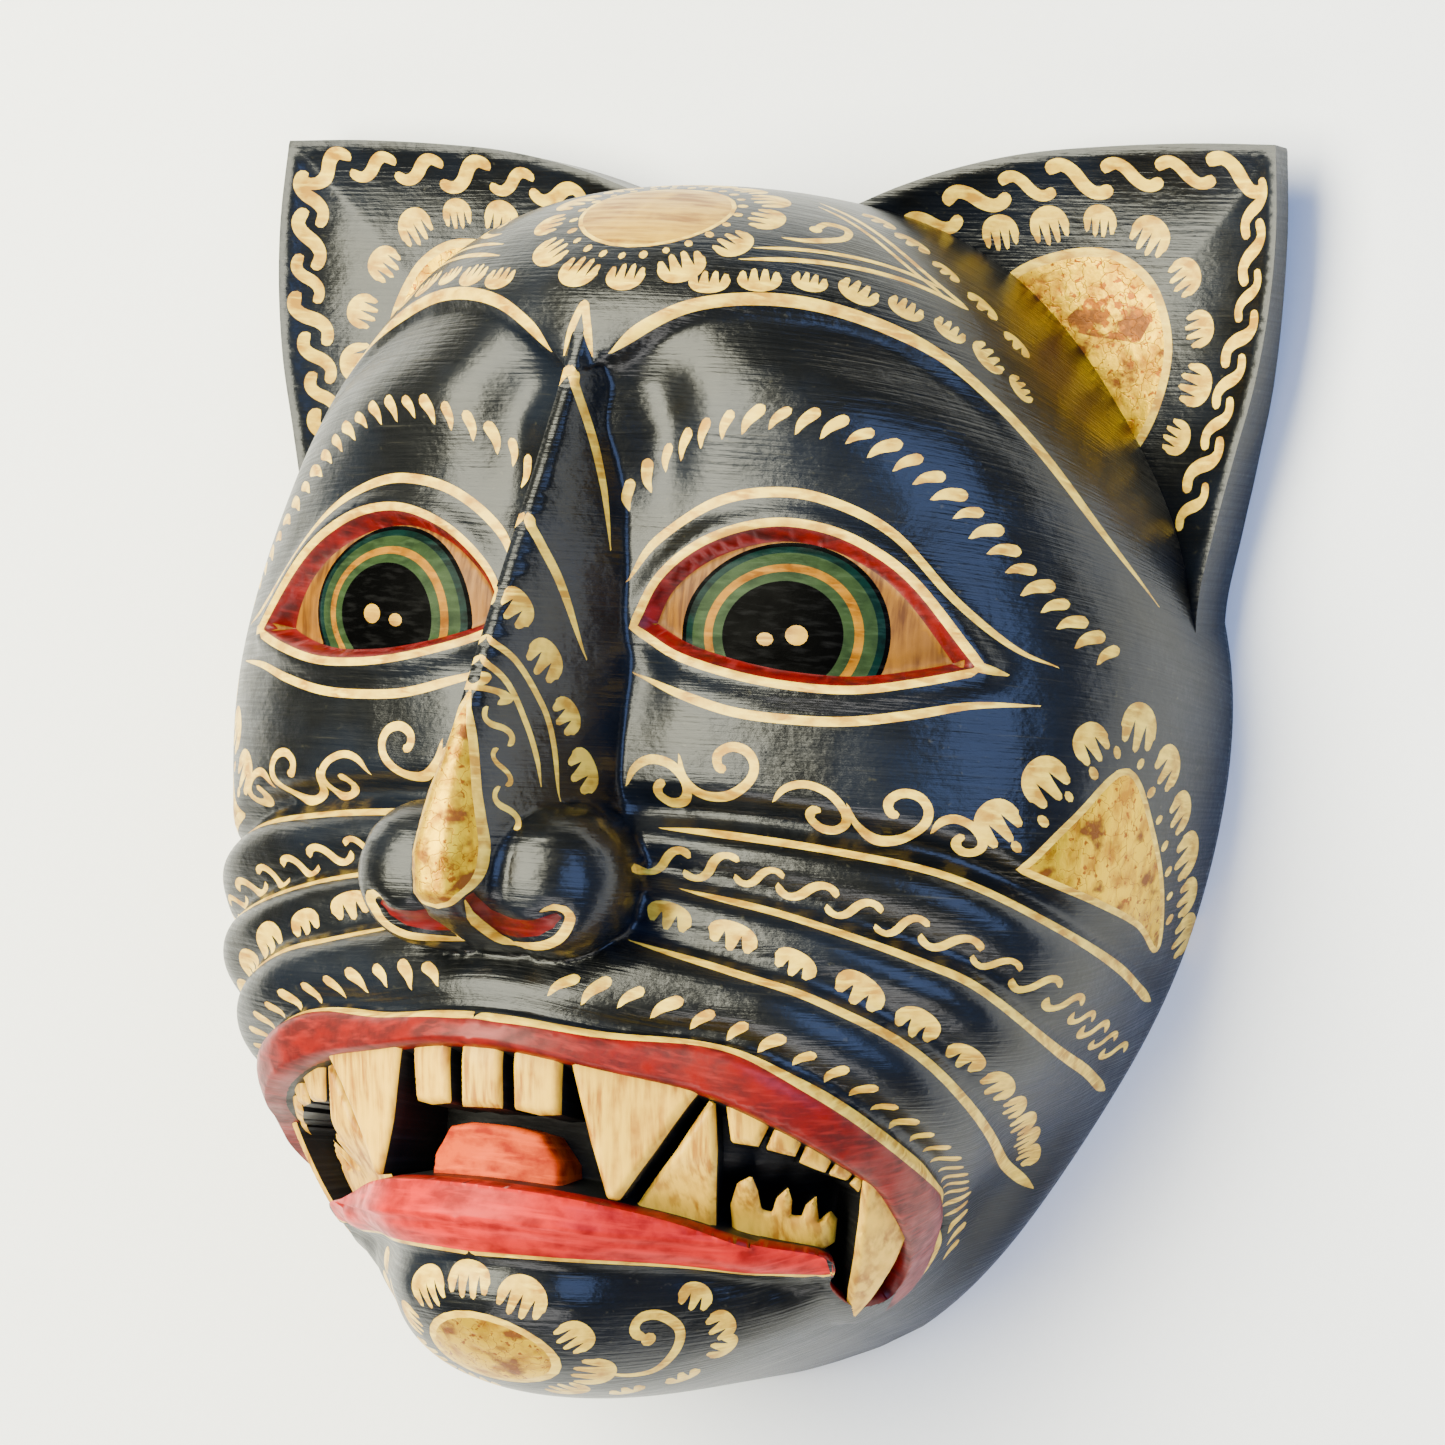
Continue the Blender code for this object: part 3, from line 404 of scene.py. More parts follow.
def nearest_on(line, across, up):
    """For each point: its place along the line, and its distance, positive to the left of the line."""
    start = line[:-1]
    step = line[1:] - start
    length = np.hypot(step[:, 0], step[:, 1])
    travelled = np.concatenate([[0.0], np.cumsum(length)[:-1]])
    from_x = across[:, None] - start[:, 0]
    from_y = up[:, None] - start[:, 1]
    share = np.clip((from_x * step[:, 0] + from_y * step[:, 1]) / length ** 2, 0.0, 1.0)
    gap = np.hypot(from_x - share * step[:, 0], from_y - share * step[:, 1])
    best = np.argmin(gap, axis=1)
    row = np.arange(len(best))
    side = np.sign(step[best, 0] * from_y[row, best] - step[best, 1] * from_x[row, best])
    return travelled[best] + share[row, best] * length[best], gap[row, best] * side


def near_line(points, across, up):
    """The same, for the smooth line through a few points."""
    return nearest_on(smooth_line(points, 8), across, up)


def winding(ring, across, up):
    """How often a closed ring goes round each point."""
    turns = np.zeros(len(across), int)
    for (x0, y0), (x1, y1) in zip(ring, np.roll(ring, -1, axis=0)):
        left = (x1 - x0) * (up - y0) - (across - x0) * (y1 - y0)
        turns += ((y0 <= up) & (y1 > up) & (left > 0)).astype(int)
        turns -= ((y0 > up) & (y1 <= up) & (left < 0)).astype(int)
    return turns


def inside_depth(ring, across, up):
    """Distance inside a closed ring, negative outside it."""
    _, gap = nearest_on(np.vstack([ring, ring[:1]]), across, up)
    return np.where(winding(ring, across, up) != 0, np.abs(gap), -np.abs(gap))


def fit_rim():
    """Cosine waves whose sum is the rim's distance from the middle at each angle from the crown."""
    points = np.array(RIM, float)
    angle = np.arctan2(points[:, 0], points[:, 1])
    waves = np.cos(np.outer(angle, np.arange(RIM_WAVES)))
    return np.linalg.lstsq(waves, np.hypot(points[:, 0], points[:, 1]), rcond=None)[0]


RIM_FIT = fit_rim()


def rim_reach(angle):
    return sum(size * np.cos(wave * angle) for wave, size in enumerate(RIM_FIT))


def dome(x, y):
    """Height of the plain head, before nose, brows and folds are carved."""
    angle = np.arctan2(np.abs(x), y)
    share = np.hypot(x, y) / rim_reach(angle)
    upward = np.cos(angle)
    fullness = 0.27 - 0.04 * ease(upward, 0.2, 1.0) - 0.13 * ease(-upward, 0.1, 0.95)
    side = np.abs(x)
    forehead = 16.0 * bell(side, 52.0) * ease(y, 45.0, 88.0)
    muzzle = (26.0 * bell(side, 50.0) + 8.0 * bell(side - 55.0, 18.0)) * ease(-y, 8.0, 52.0)
    chin = 10.0 * bell(side, 40.0) * ease(-y, 60.0, 100.0)
    jaw_hollow = 9.0 * bell(side - 70.0, 14.0) * ease(-y, 50.0, 85.0)
    top = 77.0 + forehead + muzzle + chin - jaw_hollow
    return top * np.maximum(1.0 - share * share, 0.0) ** fullness


class Unrolling:
    """The face unrolled from the middle outwards, so that its steep sides are drawn at full length."""

    ANGLES = 241
    STEPS = 400
    SAMPLES = 2400

    def __init__(self):
        angle = np.linspace(0.0, math.pi, self.ANGLES)[:, None]
        share = 1.0 - (1.0 - np.linspace(0.0, 1.0, self.SAMPLES)[None, :]) ** 4
        reach = rim_reach(angle)
        x = np.sin(angle) * reach * share
        y = np.cos(angle) * reach * share
        pieces = np.sqrt(np.diff(x) ** 2 + np.diff(y) ** 2 + np.diff(dome(x, y)) ** 2)
        run = np.concatenate([np.zeros((self.ANGLES, 1)), np.cumsum(pieces, axis=1)], axis=1)
        self.length = run[:, -1]
        even = np.linspace(0.0, 1.0, self.STEPS)
        self.share = np.array([np.interp(even, run[i] / run[i, -1], share[0]) for i in range(self.ANGLES)])

    def reach(self, angle):
        return np.interp(angle, np.linspace(0.0, math.pi, self.ANGLES), self.length)

    def front_view(self, across, up):
        """Where points of the unrolled face are seen from the front: x, y."""
        angle = np.arctan2(np.abs(across), up)
        run = np.clip(np.hypot(across, up) / self.reach(angle), 0.0, 1.0) * (self.STEPS - 1)
        turn = angle / math.pi * (self.ANGLES - 1)
        i = np.clip(turn.astype(int), 0, self.ANGLES - 2)
        j = np.clip(run.astype(int), 0, self.STEPS - 2)
        a = turn - i
        b = run - j
        share = (1 - a) * ((1 - b) * self.share[i, j] + b * self.share[i, j + 1])
        share = share + a * ((1 - b) * self.share[i + 1, j] + b * self.share[i + 1, j + 1])
        radius = rim_reach(angle) * share
        return np.sin(angle) * radius * np.where(across < 0, -1.0, 1.0), np.cos(angle) * radius


UNROLLING = Unrolling()


def from_rim(points):
    """Distance on the unrolled face from its edge."""
    angle = np.arctan2(np.abs(points[:, 0]), points[:, 1])
    return UNROLLING.reach(angle) - np.hypot(points[:, 0], points[:, 1])


def nose_at(y, column):
    """The height of the nose's crest, column 1, or half the nose's width there, column 2."""
    line = np.array(NOSE, float)[::-1]
    return np.interp(y, line[:, 0], line[:, column])


def nose_height(x, y):
    """Height of the nose's ridge and side walls, which fall far below the face beside it."""
    crest = nose_at(y, 1)
    half = nose_at(y, 2)
    roundness = 1.15 + 1.3 * ease(-y, -12.0, 18.0)
    side = np.maximum(np.abs(x) - NOSE_FLAT, 0.0)
    ridge = crest - (crest - 72.0) * (side / half) ** roundness
    return np.where((y > NOSE[0][0]) | (y < NOSE[-1][0]), 0.0, ridge)


def wing_view(points):
    """Points seen down the lean of their wing, from the middle of its ball: across, up, height."""
    side = np.abs(points[:, 0]) - WING_MIDDLE[0]
    rise = points[:, 2] - WING_MIDDLE[2]
    across = side * math.cos(WING_LEAN) - rise * math.sin(WING_LEAN)
    height = side * math.sin(WING_LEAN) + rise * math.cos(WING_LEAN)
    return across, points[:, 1] - WING_MIDDLE[1], height


def raise_wings(points):
    """The nose's ridge and the cheeks with the balls of the wings, and their nostrils."""
    across, up, height = wing_view(points)
    gap = np.hypot(across, up)
    ball = np.sqrt(np.maximum(WING_RADIUS ** 2 - gap ** 2, 0.0))
    ball = ball - WING_WALL * np.maximum(gap - WING_RADIUS, 0.0)
    _, gap = nearest_on(smooth_line(NOSTRIL, 5), across, up)
    lift = blend_max(height, ball, 3.0) - height - NOSTRIL_DEPTH * bell(gap, NOSTRIL_REACH)
    return points + push(points[:, 0], lift, (math.sin(WING_LEAN), 0.0, math.cos(WING_LEAN)))


def eye_ring(parts):
    top = smooth_line(EYE_TOP, parts)
    foot = smooth_line(EYE_FOOT, parts)
    return np.vstack([top[:-1], foot[:-1]])


def mouth_ring(parts):
    right = smooth_line(MOUTH, parts)
    left = right[1:-1][::-1] * (-1.0, 1.0)
    return np.vstack([right, left])


def eye_relief(x, y):
    """Lid, lid wall and eyeball, measured out of the face."""
    inside = inside_depth(eye_ring(6), np.abs(x), y)
    lid = 1.6 * bell(np.minimum(inside, 0.0) + 1.5, 2.6) * (inside < 0)
    ball_x = (np.abs(x) - EYE_MIDDLE[0]) / 30.0
    ball_y = (y - EYE_MIDDLE[1]) / 15.0
    ball = -4.2 + 4.0 * np.maximum(1.0 - ball_x ** 2 - ball_y ** 2, -0.4)
    edge_lid = 1.6 * bell(1.5, 2.6)
    return np.where(inside > 0, edge_lid + (ball - edge_lid) * ease(inside, 0.0, 2.2), lid)


def brow_relief(across, up):
    """The ledge under each brow line, the hollow beside the bridge and the swelling above the eye."""
    side = np.abs(across)
    along, above = near_line(BROW_LINE, side, up)
    ledge = -2.6 * (1.0 - ease(along, 35.0, 95.0)) * ease(-above, -1.0, 3.0) * (1.0 - ease(-above, 5.0, 24.0))
    return ledge + humps(BROW_HUMPS, side, up)


def cheek_relief(across, up):
    """The grooves and rolls of the snarling cheek, and the flattening beside the eyes."""
    side = np.abs(across)
    total = humps(CHEEK_HUMPS, side, up)
    for points, depth in zip(FOLD_LINES, FOLD_DEPTHS):
        along, above = near_line(points, side, up)
        fade = ease(along, 0.0, 8.0) * (1.0 - 0.75 * ease(along, 62.0, 118.0))
        groove = -depth * bell(above - 3.2, 3.0)
        roll = 1.8 * bell(above + 4.0, 4.5)
        total += fade * (groove + roll)
    return total


def mouth_relief(across, up):
    """Raised lips round the open mouth, and how far inside the mouth each point lies."""
    side = np.abs(across)
    inside = inside_depth(mouth_ring(6), across, up)
    _, above_lip = near_line(LIP_LINE, side, up)
    groove = -2.6 * bell(above_lip - 3.0, 2.6)
    lip = 1.8 * (1.0 - ease(above_lip, 0.0, 2.5)) * (1.0 - ease(-inside, 7.0, 11.0))
    _, above_foot = near_line(LIP_FOOT, side, up)
    lower = 2.6 * bell(above_foot - 5.0, 4.5) * (1.0 - ease(side, 44.0, 58.0))
    under = -2.2 * bell(above_foot + 3.0, 4.0) * (1.0 - ease(side, 50.0, 64.0))
    lip = np.where(up < -86.0, lip * ease(side, 58.0, 64.0), lip)
    return groove + lip + lower + under, inside


def plain_point(across, up):
    """Points of the uncarved head for points of the unrolled face."""
    x, y = UNROLLING.front_view(across, up)
    return np.stack([x, y, dome(x, y)], axis=1)


def slopes(surface, across, up, span):
    """How far a surface moves across and up, over twice the span."""
    along = surface(across + span, up) - surface(across - span, up)
    climb = surface(across, up + span) - surface(across, up - span)
    return along, climb


def jaw_shift(across, up):
    """How the lower jaw narrows towards its corners."""
    side = np.abs(across)
    amount = 7.5 * ease(side, 16.0, 44.0) * (1.0 - 0.5 * ease(side, 50.0, 62.0))
    amount *= (1.0 - ease(side, 64.0, 72.0)) * ease(-up, 68.0, 84.0)
    return push(across, amount * (1.0 - 0.4 * ease(-up, 100.0, 118.0)), JAW_BACK)


def into_mouth(points):
    """Directions from points of the face towards a place deep behind the mouth."""
    return unit(MOUTH_AIM - points * (1.0 - MOUTH_SPREAD, 1.0, 1.0))


def carve_without_nose(across, up):
    """Points of the front before the nose is set on it, and their distance from its edge."""
    centre = plain_point(across, up)
    outward = unit(np.cross(*slopes(plain_point, across, up, NORMAL_SPAN)))
    x = centre[:, 0]
    y = centre[:, 1]
    rim_gap = from_rim(pair(across, up))
    near_rim = ease(rim_gap, 2.0, 16.0)
    relief = eye_relief(x, y) + brow_relief(across, up) + cheek_relief(across, up)
    under_nose = 1.0 - bell(x, 16.0) * ease(y, -42.0, -34.0) * ease(-y, -70.0, -60.0)
    lips, inside_mouth = mouth_relief(across, up)
    relief = relief * under_nose + lips * (1.0 - ease(inside_mouth, 0.0, 1.6))
    points = centre + outward * (relief * near_rim)[:, None]
    sink = MOUTH_DEPTH * ease(inside_mouth, 0.0, 1.6)
    return points + into_mouth(centre) * sink[:, None] + jaw_shift(across, up), rim_gap


def carve(across, up):
    """Points of the finished front for points of the unrolled face, in drawn millimetres."""
    points, rim_gap = carve_without_nose(across, up)
    points[:, 2] = blend_max(points[:, 2], nose_height(points[:, 0], points[:, 1]), 1.5)
    points = raise_wings(points)
    points[rim_gap < 0.01, 2] = 0.0
    return points


def unroll_ring(ring):
    """The place on the unrolled face of points that are given as seen from the front."""
    place = np.array(ring, float)
    guess = place.copy()
    for _ in range(SEARCH_STEPS):
        guess += place - pair(*UNROLLING.front_view(*guess.T))
    return guess


def on_wing(ring):
    """The place on the unrolled face of points given as seen down the lean of the right wing."""
    place = np.array(ring, float)
    guess = place + WING_MIDDLE[:2]
    for _ in range(WING_SEARCH_STEPS):
        guess += (place - pair(*wing_view(carve(*guess.T))[:2])) * WING_SEARCH_PACE
    return guess


def lengths(line):
    """How far along a line each of its points lies."""
    return np.concatenate([[0.0], np.cumsum(np.hypot(*np.diff(line, axis=0).T))])


def points_at(line, run):
    """The points that lie so far along a line."""
    own = lengths(line)
    return pair(np.interp(run, own, line[:, 0]), np.interp(run, own, line[:, 1]))


def even_steps(line, gap, closed=False):
    """The same line with points at even steps."""
    if closed:
        line = np.vstack([line, line[:1]])
    total = lengths(line)[-1]
    points = points_at(line, np.linspace(0.0, total, max(3, int(round(total / gap))) + 1))
    return points[:-1] if closed else points


def inset(ring, amount):
    """A closed ring moved inwards by an amount."""
    ring = np.array(ring, float)
    run = unit(np.roll(ring, -1, axis=0) - np.roll(ring, 1, axis=0))
    moved = ring + pair(-run[:, 1], run[:, 0]) * abs(amount)
    inwards = inside_depth(ring, *moved.T).mean() > 0
    return moved if inwards == (amount > 0) else 2.0 * ring - moved


def to_frame(points):
    return np.asarray(points) * SCALE + SHIFT


def at_depth(flat, sink):
    """Points sunk below the plain face, towards the depth of the mouth."""
    points = plain_point(*flat.T)
    return points + into_mouth(points) * np.reshape(sink, (-1, 1))


def border(faces):
    """The closed row of corners round a sheet of triangles."""
    edges = {(face[i], face[(i + 1) % 3]) for face in faces.tolist() for i in range(3)}
    following = {start: stop for start, stop in edges if (stop, start) not in edges}
    row = [min(following)]
    while following[row[-1]] != row[0]:
        row.append(following[row[-1]])
    return row


def half_widths(count, width, start, stop, roundness, least):
    """Half widths along a brush stroke, which narrows over a share of its length at either end."""
    share = np.linspace(0.0, 1.0, count)
    narrow = np.minimum(np.minimum(share / max(start, 1e-3), (1.0 - share) / max(stop, 1e-3)), 1.0)
    return np.maximum(width / 2 * np.sin(narrow * math.pi / 2) ** roundness, least)


def add_object(name, data):
    thing = bpy.data.objects.new(name, data)
    bpy.context.scene.collection.objects.link(thing)
    return thing


class Canvas:
    """A flat drawing of a carved surface, with its painted shapes, later ones over earlier ones."""

    def __init__(self, edge, surface, ground, net, depth=None):
        self.edge = edge
        self.surface = surface
        self.ground = ground
        self.net = net
        self.depth = depth or (lambda points: inside_depth(edge, *points.T))
        self.shapes = []
        self.creases = []

    def paint(self, outline, colour, within=None):
        outline = np.array(outline, float)
        middle = np.abs(outline.mean(axis=0) - NOSE_MIDDLE)
        on_nose = self.surface is carve and middle[0] < NOSE_REACH[0] and middle[1] < NOSE_REACH[1]
        outline = even_steps(outline, NOSE_STEP if on_nose else LINE_STEP, closed=True)
        self.shapes.append((outline, colour, within))

    def both(self, outline, colour, within=None):
        outline = np.array(outline, float)
        self.paint(outline, colour, within)
        self.paint(outline * (-1.0, 1.0), colour, None if within is None else within * (-1.0, 1.0))

    def crease(self, line, closed=False):
        """A line that the mesh follows, with no colour of its own."""
        self.creases.append((even_steps(np.array(line, float), LINE_STEP, closed), closed))

    def on_surface(self, places, headings, offsets):
        """Where flat places come after so many millimetres along and to the left of their headings."""
        moves = slopes(self.surface, *places.T, CHART_SPAN)
        slope = pair(*moves) / (2.0 * CHART_SPAN)
        along = unit(np.einsum("nij,nj->ni", slope, headings))
        left = np.cross(unit(np.cross(*moves)), along)
        u, size, v = np.linalg.svd(slope, full_matrices=False)
        size = np.maximum(size, LEAST_STRETCH)
        step = offsets[:, :, :1] * along[:, None, :] + offsets[:, :, 1:] * left[:, None, :]
        moved = np.einsum("nki,nij->nkj", step, u) / size[:, None, :]
        return places[:, None, :] + np.einsum("nkj,njl->nkl", moved, v)

    def ribbon(self, line, width, start=0.3, stop=0.3, parts=6):
        """Outline of a brush stroke, so wide on the carved surface, and narrowed at either end."""
        line = even_steps(smooth_line(line, parts), LINE_STEP)
        half = half_widths(len(line), width, start, stop, 0.8, 0.12)
        offsets = np.stack([pair(half * 0, half), pair(half * 0, -half)], axis=1)
        sides = self.on_surface(line, np.gradient(line, axis=0), offsets)
        return np.vstack([sides[:, 0], sides[::-1, 1]])

    def stroke(self, line, width, start, stop):
        """A cream brush stroke on either half."""
        self.both(self.ribbon(line, width, start, stop), CREAM)

    def stamps(self, line, count, shape, sizes=(1.0, 1.0), turn=(0.0, 0.0), first=0.0, last=1.0):
        """The same small shape at even steps along a line, turned from the line's direction."""
        line = smooth_line(line, 8)
        run = np.linspace(first, last, count) * lengths(line)[-1]
        headings = points_at(line, run + 1.0) - points_at(line, run - 1.0)
        size = np.linspace(*sizes, count) * (1.0 + UNEVEN * np.sin(np.arange(count) * 2.4))
        tilt = np.radians(np.linspace(*turn, count)) + UNEVEN * np.sin(np.arange(count) * 1.7)
        cos = np.cos(tilt)[:, None]
        sin = np.sin(tilt)[:, None]
        x, y = shape.T
        turned = pair(cos * x - sin * y, sin * x + cos * y) * size[:, None, None]
        return self.on_surface(points_at(line, run), headings, turned)

    def row(self, line, count, shape, sizes=(1.0, 1.0), turn=(0.0, 0.0), mirrored=True):
        """Cream shapes at even steps along a line, on either half or on one."""
        for outline in self.stamps(line, count, shape, sizes, turn):
            (self.both if mirrored else self.paint)(outline, CREAM)

    def stamp(self, place, turn, shape):
        """One small shape at a place, turned by so many degrees."""
        heading = np.array([[math.cos(math.radians(turn)), math.sin(math.radians(turn))]])
        return self.on_surface(np.array([place], float), heading, shape[None])[0]

    def disc(self, place, radius, height=None):
        return self.stamp(place, 0.0, oval(radius, height or radius, 25)[:-1])

    def mesh(self):
        """The drawing as triangles that follow its lines: flat places, faces and the faces' paints."""
        lines = [(self.edge, True)] + [(shape[0], True) for shape in self.shapes] + self.creases
        tree = KDTree(sum(len(line) for line, _ in lines))
        corners = []
        edges = []
        for line, closed in lines:
            first = len(corners)
            corners += [Vector(point) for point in line]
            edges += [(first + i, first + i + 1) for i in range(len(line) - 1)]
            if closed:
                edges.append((first + len(line) - 1, first))
        for index, corner in enumerate(corners):
            tree.insert((corner.x, corner.y, 0.0), index)
        tree.balance()
        net = hexagon_net(self.edge.min(axis=0), self.edge.max(axis=0), self.net)
        net = net[self.depth(net) > self.net * 0.5]
        clear = self.net * 0.55
        net = [point for point in net if tree.find((point[0], point[1], 0.0))[2] > clear]
        corners += [Vector(point) for point in net]
        flat, _, faces, _, _, _ = delaunay_2d_cdt(corners, edges, [list(range(len(self.edge)))], 1, 1e-4)
        flat = np.array([tuple(point) for point in flat])
        faces = np.array([tuple(face) for face in faces])
        middle = flat[faces].mean(axis=1)
        colours = np.zeros(len(faces), int) + self.ground
        for outline, colour, within in self.shapes:
            box = (middle >= outline.min(axis=0)) & (middle <= outline.max(axis=0))
            near = np.where(np.all(box, axis=1))[0]
            near = near[winding(outline, *middle[near].T) != 0]
            if within is not None:
                near = near[winding(within, *middle[near].T) != 0]
            colours[near] = colour
        return flat, faces, colours


def hexagon_net(low, high, gap):
    """Points in a net of equal triangles over a box."""
    rise = gap * math.sqrt(3) / 2
    rows = np.arange(int((high[1] - low[1]) / rise) + 2)
    columns = np.arange(int((high[0] - low[0]) / gap) + 2)
    row, column = np.meshgrid(rows, columns, indexing="ij")
    x = low[0] + column * gap + np.where(row % 2 == 1, gap / 2, 0.0)
    return pair(x.ravel(), (low[1] + row * rise).ravel())


def make_piece(name, points, faces, colours, flat, materials):
    """A piece of the mask, with its paints and its places on the unrolled face."""
    mesh = bpy.data.meshes.new(name)
    mesh.from_pydata([tuple(point) for point in to_frame(points)], [], [tuple(face) for face in faces])
    for material in materials:
        mesh.materials.append(material)
    mesh.polygons.foreach_set("material_index", np.array(colours, dtype=np.int32))
    mesh.shade_smooth()
    chart = mesh.uv_layers.new(name="unrolled")
    loops = np.zeros(len(mesh.loops), dtype=np.int32)
    mesh.loops.foreach_get("vertex_index", loops)
    chart.data.foreach_set("uv", (np.array(flat)[loops] / CHART_SIZE + 0.5).astype(np.float32).ravel())
    mesh.update()
    piece = add_object(name, mesh)
    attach(piece, "root")
    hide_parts("cat_mask")
    return piece


def wall_between(rings):
    """Faces between each closed row of corners and the next one."""
    faces = []
    for upper, lower in zip(rings, rings[1:]):
        for i in range(len(upper)):
            j = (i + 1) % len(upper)
            faces.append((upper[i], lower[i], lower[j], upper[j]))
    return faces


def make_slab(name, canvas, front, back, side, wall, rows, materials):
    """A piece with a drawn front, a plain back and walls between them; side -1 mirrors it."""
    flat, faces, colours = canvas.mesh()
    top = front(flat)
    foot = back(flat)
    row = border(faces)
    count = len(flat)
    corners = list(top) + list(foot)
    place = list(flat) + list(flat)
    rings = [row]
    for step in range(1, rows):
        rings.append(list(range(len(corners), len(corners) + len(row))))
        corners += list(top[row] + (foot[row] - top[row]) * step / rows)
        place += list(flat[row])
    rings.append([count + corner for corner in row])
    walls = wall_between(rings)
    everything = [*faces, *(faces[:, ::-1] + count), *walls]
    shades = list(colours) + [wall] * (len(faces) + len(walls))
    corners = np.array(corners)
    if side < 0:
        corners[:, 0] *= -1.0
        everything = [face[::-1] for face in everything]
    piece = make_piece(name, corners, everything, shades, place, materials)
    bpy.context.view_layer.objects.active = piece
    piece.data.set_sharp_from_angle(angle=math.radians(45))
    return piece


def nose_foot():
    """Where the side of the nose meets the cheek, on the unrolled face."""
    across, up = np.meshgrid(np.linspace(1.5, 26.0, 200), np.linspace(-4.0, 74.0, 60))
    points, _ = carve_without_nose(across.ravel(), up.ravel())
    above = (nose_height(points[:, 0], points[:, 1]) - points[:, 2]).reshape(across.shape)
    last = np.argmax(above < 0, axis=1) - 1
    row = np.arange(len(last))
    share = above[row, last] / (above[row, last] - above[row, last + 1])
    foot = across[row, last] + share * (across[row, last + 1] - across[row, last])
    return pair(foot, up[:, 0])


def nose_cuts():
    """Lines down the nose, from its crest out to its foot, and rings on its wings."""
    y = np.linspace(NOSE[-1][0] + 1.0, NOSE[0][0] - 1.0, 90)
    half = nose_at(y, 2)
    foot = nose_foot()
    cuts = [unroll_ring(pair(NOSE_FLAT + share * half, y)) for share in NOSE_SHARES]
    cuts += [foot + (gap, 0.0) for gap in NOSE_FOOT_GAPS]
    cuts += [on_wing(oval(WING_RADIUS * share, WING_RADIUS * share, 61)) for share in WING_SHARES]
    return [unroll_ring(pair(y * 0.0, y)), *(cut * (side, 1.0) for cut in cuts for side in (1.0, -1.0))]


def make_face(materials):
    """The carved head with its painted front and the hollow behind it, as one closed mesh."""
    angle = np.arange(RIM_STEPS) * 2 * math.pi / RIM_STEPS
    reach = UNROLLING.reach(np.minimum(angle, 2 * math.pi - angle))
    edge = pair(np.sin(angle) * reach, np.cos(angle) * reach)
    canvas = Canvas(edge, carve, LACQUER, NET, from_rim)
    for line in nose_cuts():
        canvas.crease(line)
    mouth = mouth_ring(8)
    for gap in (0.0, 0.8, 1.6):
        canvas.crease(inset(mouth, gap), True)
    draw_face(canvas)
    flat, faces, colours = canvas.mesh()
    points = carve(*flat.T)
    rim = border(faces)
    outline = points[rim]
    rings = [rim]
    corners = list(points)
    reach = np.hypot(outline[:, 0], outline[:, 1])
    for ring in range(HOLLOW_RINGS):
        turn = ring / HOLLOW_RINGS * math.pi / 2
        shrink = (reach - WALL) / reach * math.cos(turn) ** HOLLOW_FULLNESS
        rings.append(list(range(len(corners), len(corners) + len(rim))))
        height = HOLLOW_DEPTH * math.sin(turn)
        corners += [(x * s, y * s, height) for (x, y, _), s in zip(outline, shrink)]
    last = rings[-1]
    back = wall_between(rings)
    back += [(start, len(corners), stop) for start, stop in zip(last, last[1:] + last[:1])]
    corners.append((0.0, 0.0, HOLLOW_DEPTH))
    everything = [*faces, *back]
    colours = list(colours) + [BARE_WOOD] * len(back)
    place = np.vstack([flat, np.array(corners[len(flat):])[:, :2]])
    return make_piece("mask_face", corners, everything, colours, place, materials)


def make_tooth(name, outline, sink, side, materials, jaw=False, tusk=False):
    """A tooth, the tongue or a tusk, down to the floor of the mouth, with its front edges rubbed round."""
    edge = even_steps(np.array(outline, float), TOOTH_STEP, closed=True)
    canvas = Canvas(edge, None, 0, TOOTH_STEP)

    def towards_tip(flat):
        return ease(-flat[:, 1], -TUSK_TOP, -TUSK_FOOT) * tusk

    def shift(flat):
        return jaw_shift(*flat.T) if jaw else push(flat[:, 0], TUSK_BACK * towards_tip(flat), JAW_BACK)

    def front(flat):
        inside = np.clip(inside_depth(edge, *flat.T) / TOOTH_ROUND, 0.0, 1.0)
        rub = TOOTH_ROUND * (1.0 - inside) ** 2
        return at_depth(flat, TOOTH_SINK + sink + rub - TUSK_RISE * towards_tip(flat)) + shift(flat)

    def back(flat):
        return at_depth(flat, TEETH_BACK) + shift(flat)

    return make_slab(name, canvas, front, back, side, len(materials) - 1, TEETH_ROWS, materials)


def ear_edge(parts):
    """The outer edge of the right ear, and the number of its tip."""
    edge = smooth_line(EAR_EDGE_LINE[:EAR_TIP + 1], parts)
    return np.vstack([edge[:-1], smooth_line(EAR_EDGE_LINE[EAR_TIP:], parts)]), EAR_TIP * parts


EAR_LINE, EAR_CORNER = ear_edge(6)
EAR_TOP = EAR_LINE[:EAR_CORNER + 1]
EAR_OUTER = EAR_LINE[EAR_CORNER:]


def ear_front(x, y):
    """Points of an ear's front: a valley from the tip, down into a cup beside the head."""
    top = np.abs(nearest_on(EAR_TOP, x, y)[1])
    outer = np.abs(nearest_on(EAR_OUTER, x, y)[1])
    nearer = np.minimum(top, outer)
    sunk = EAR_CUP * (1.0 - np.exp(-np.maximum(nearer - 1.5, 0.0) / 11.0))
    return np.stack([x, y, EAR_RELIEF - sunk], axis=1)


def ear_back(flat):
    """Points of an ear's back, thin at the edge and thick where it joins the head."""
    points = ear_front(*flat.T)
    away = np.hypot(*flat.T) - rim_reach(np.arctan2(*flat.T))
    rise = (EAR_RELIEF - EAR_EDGE - EAR_LIFT) * ease(away, 4.0, 46.0)
    points[:, 2] = np.minimum(EAR_LIFT + rise, points[:, 2] - EAR_LEAST)
    return points


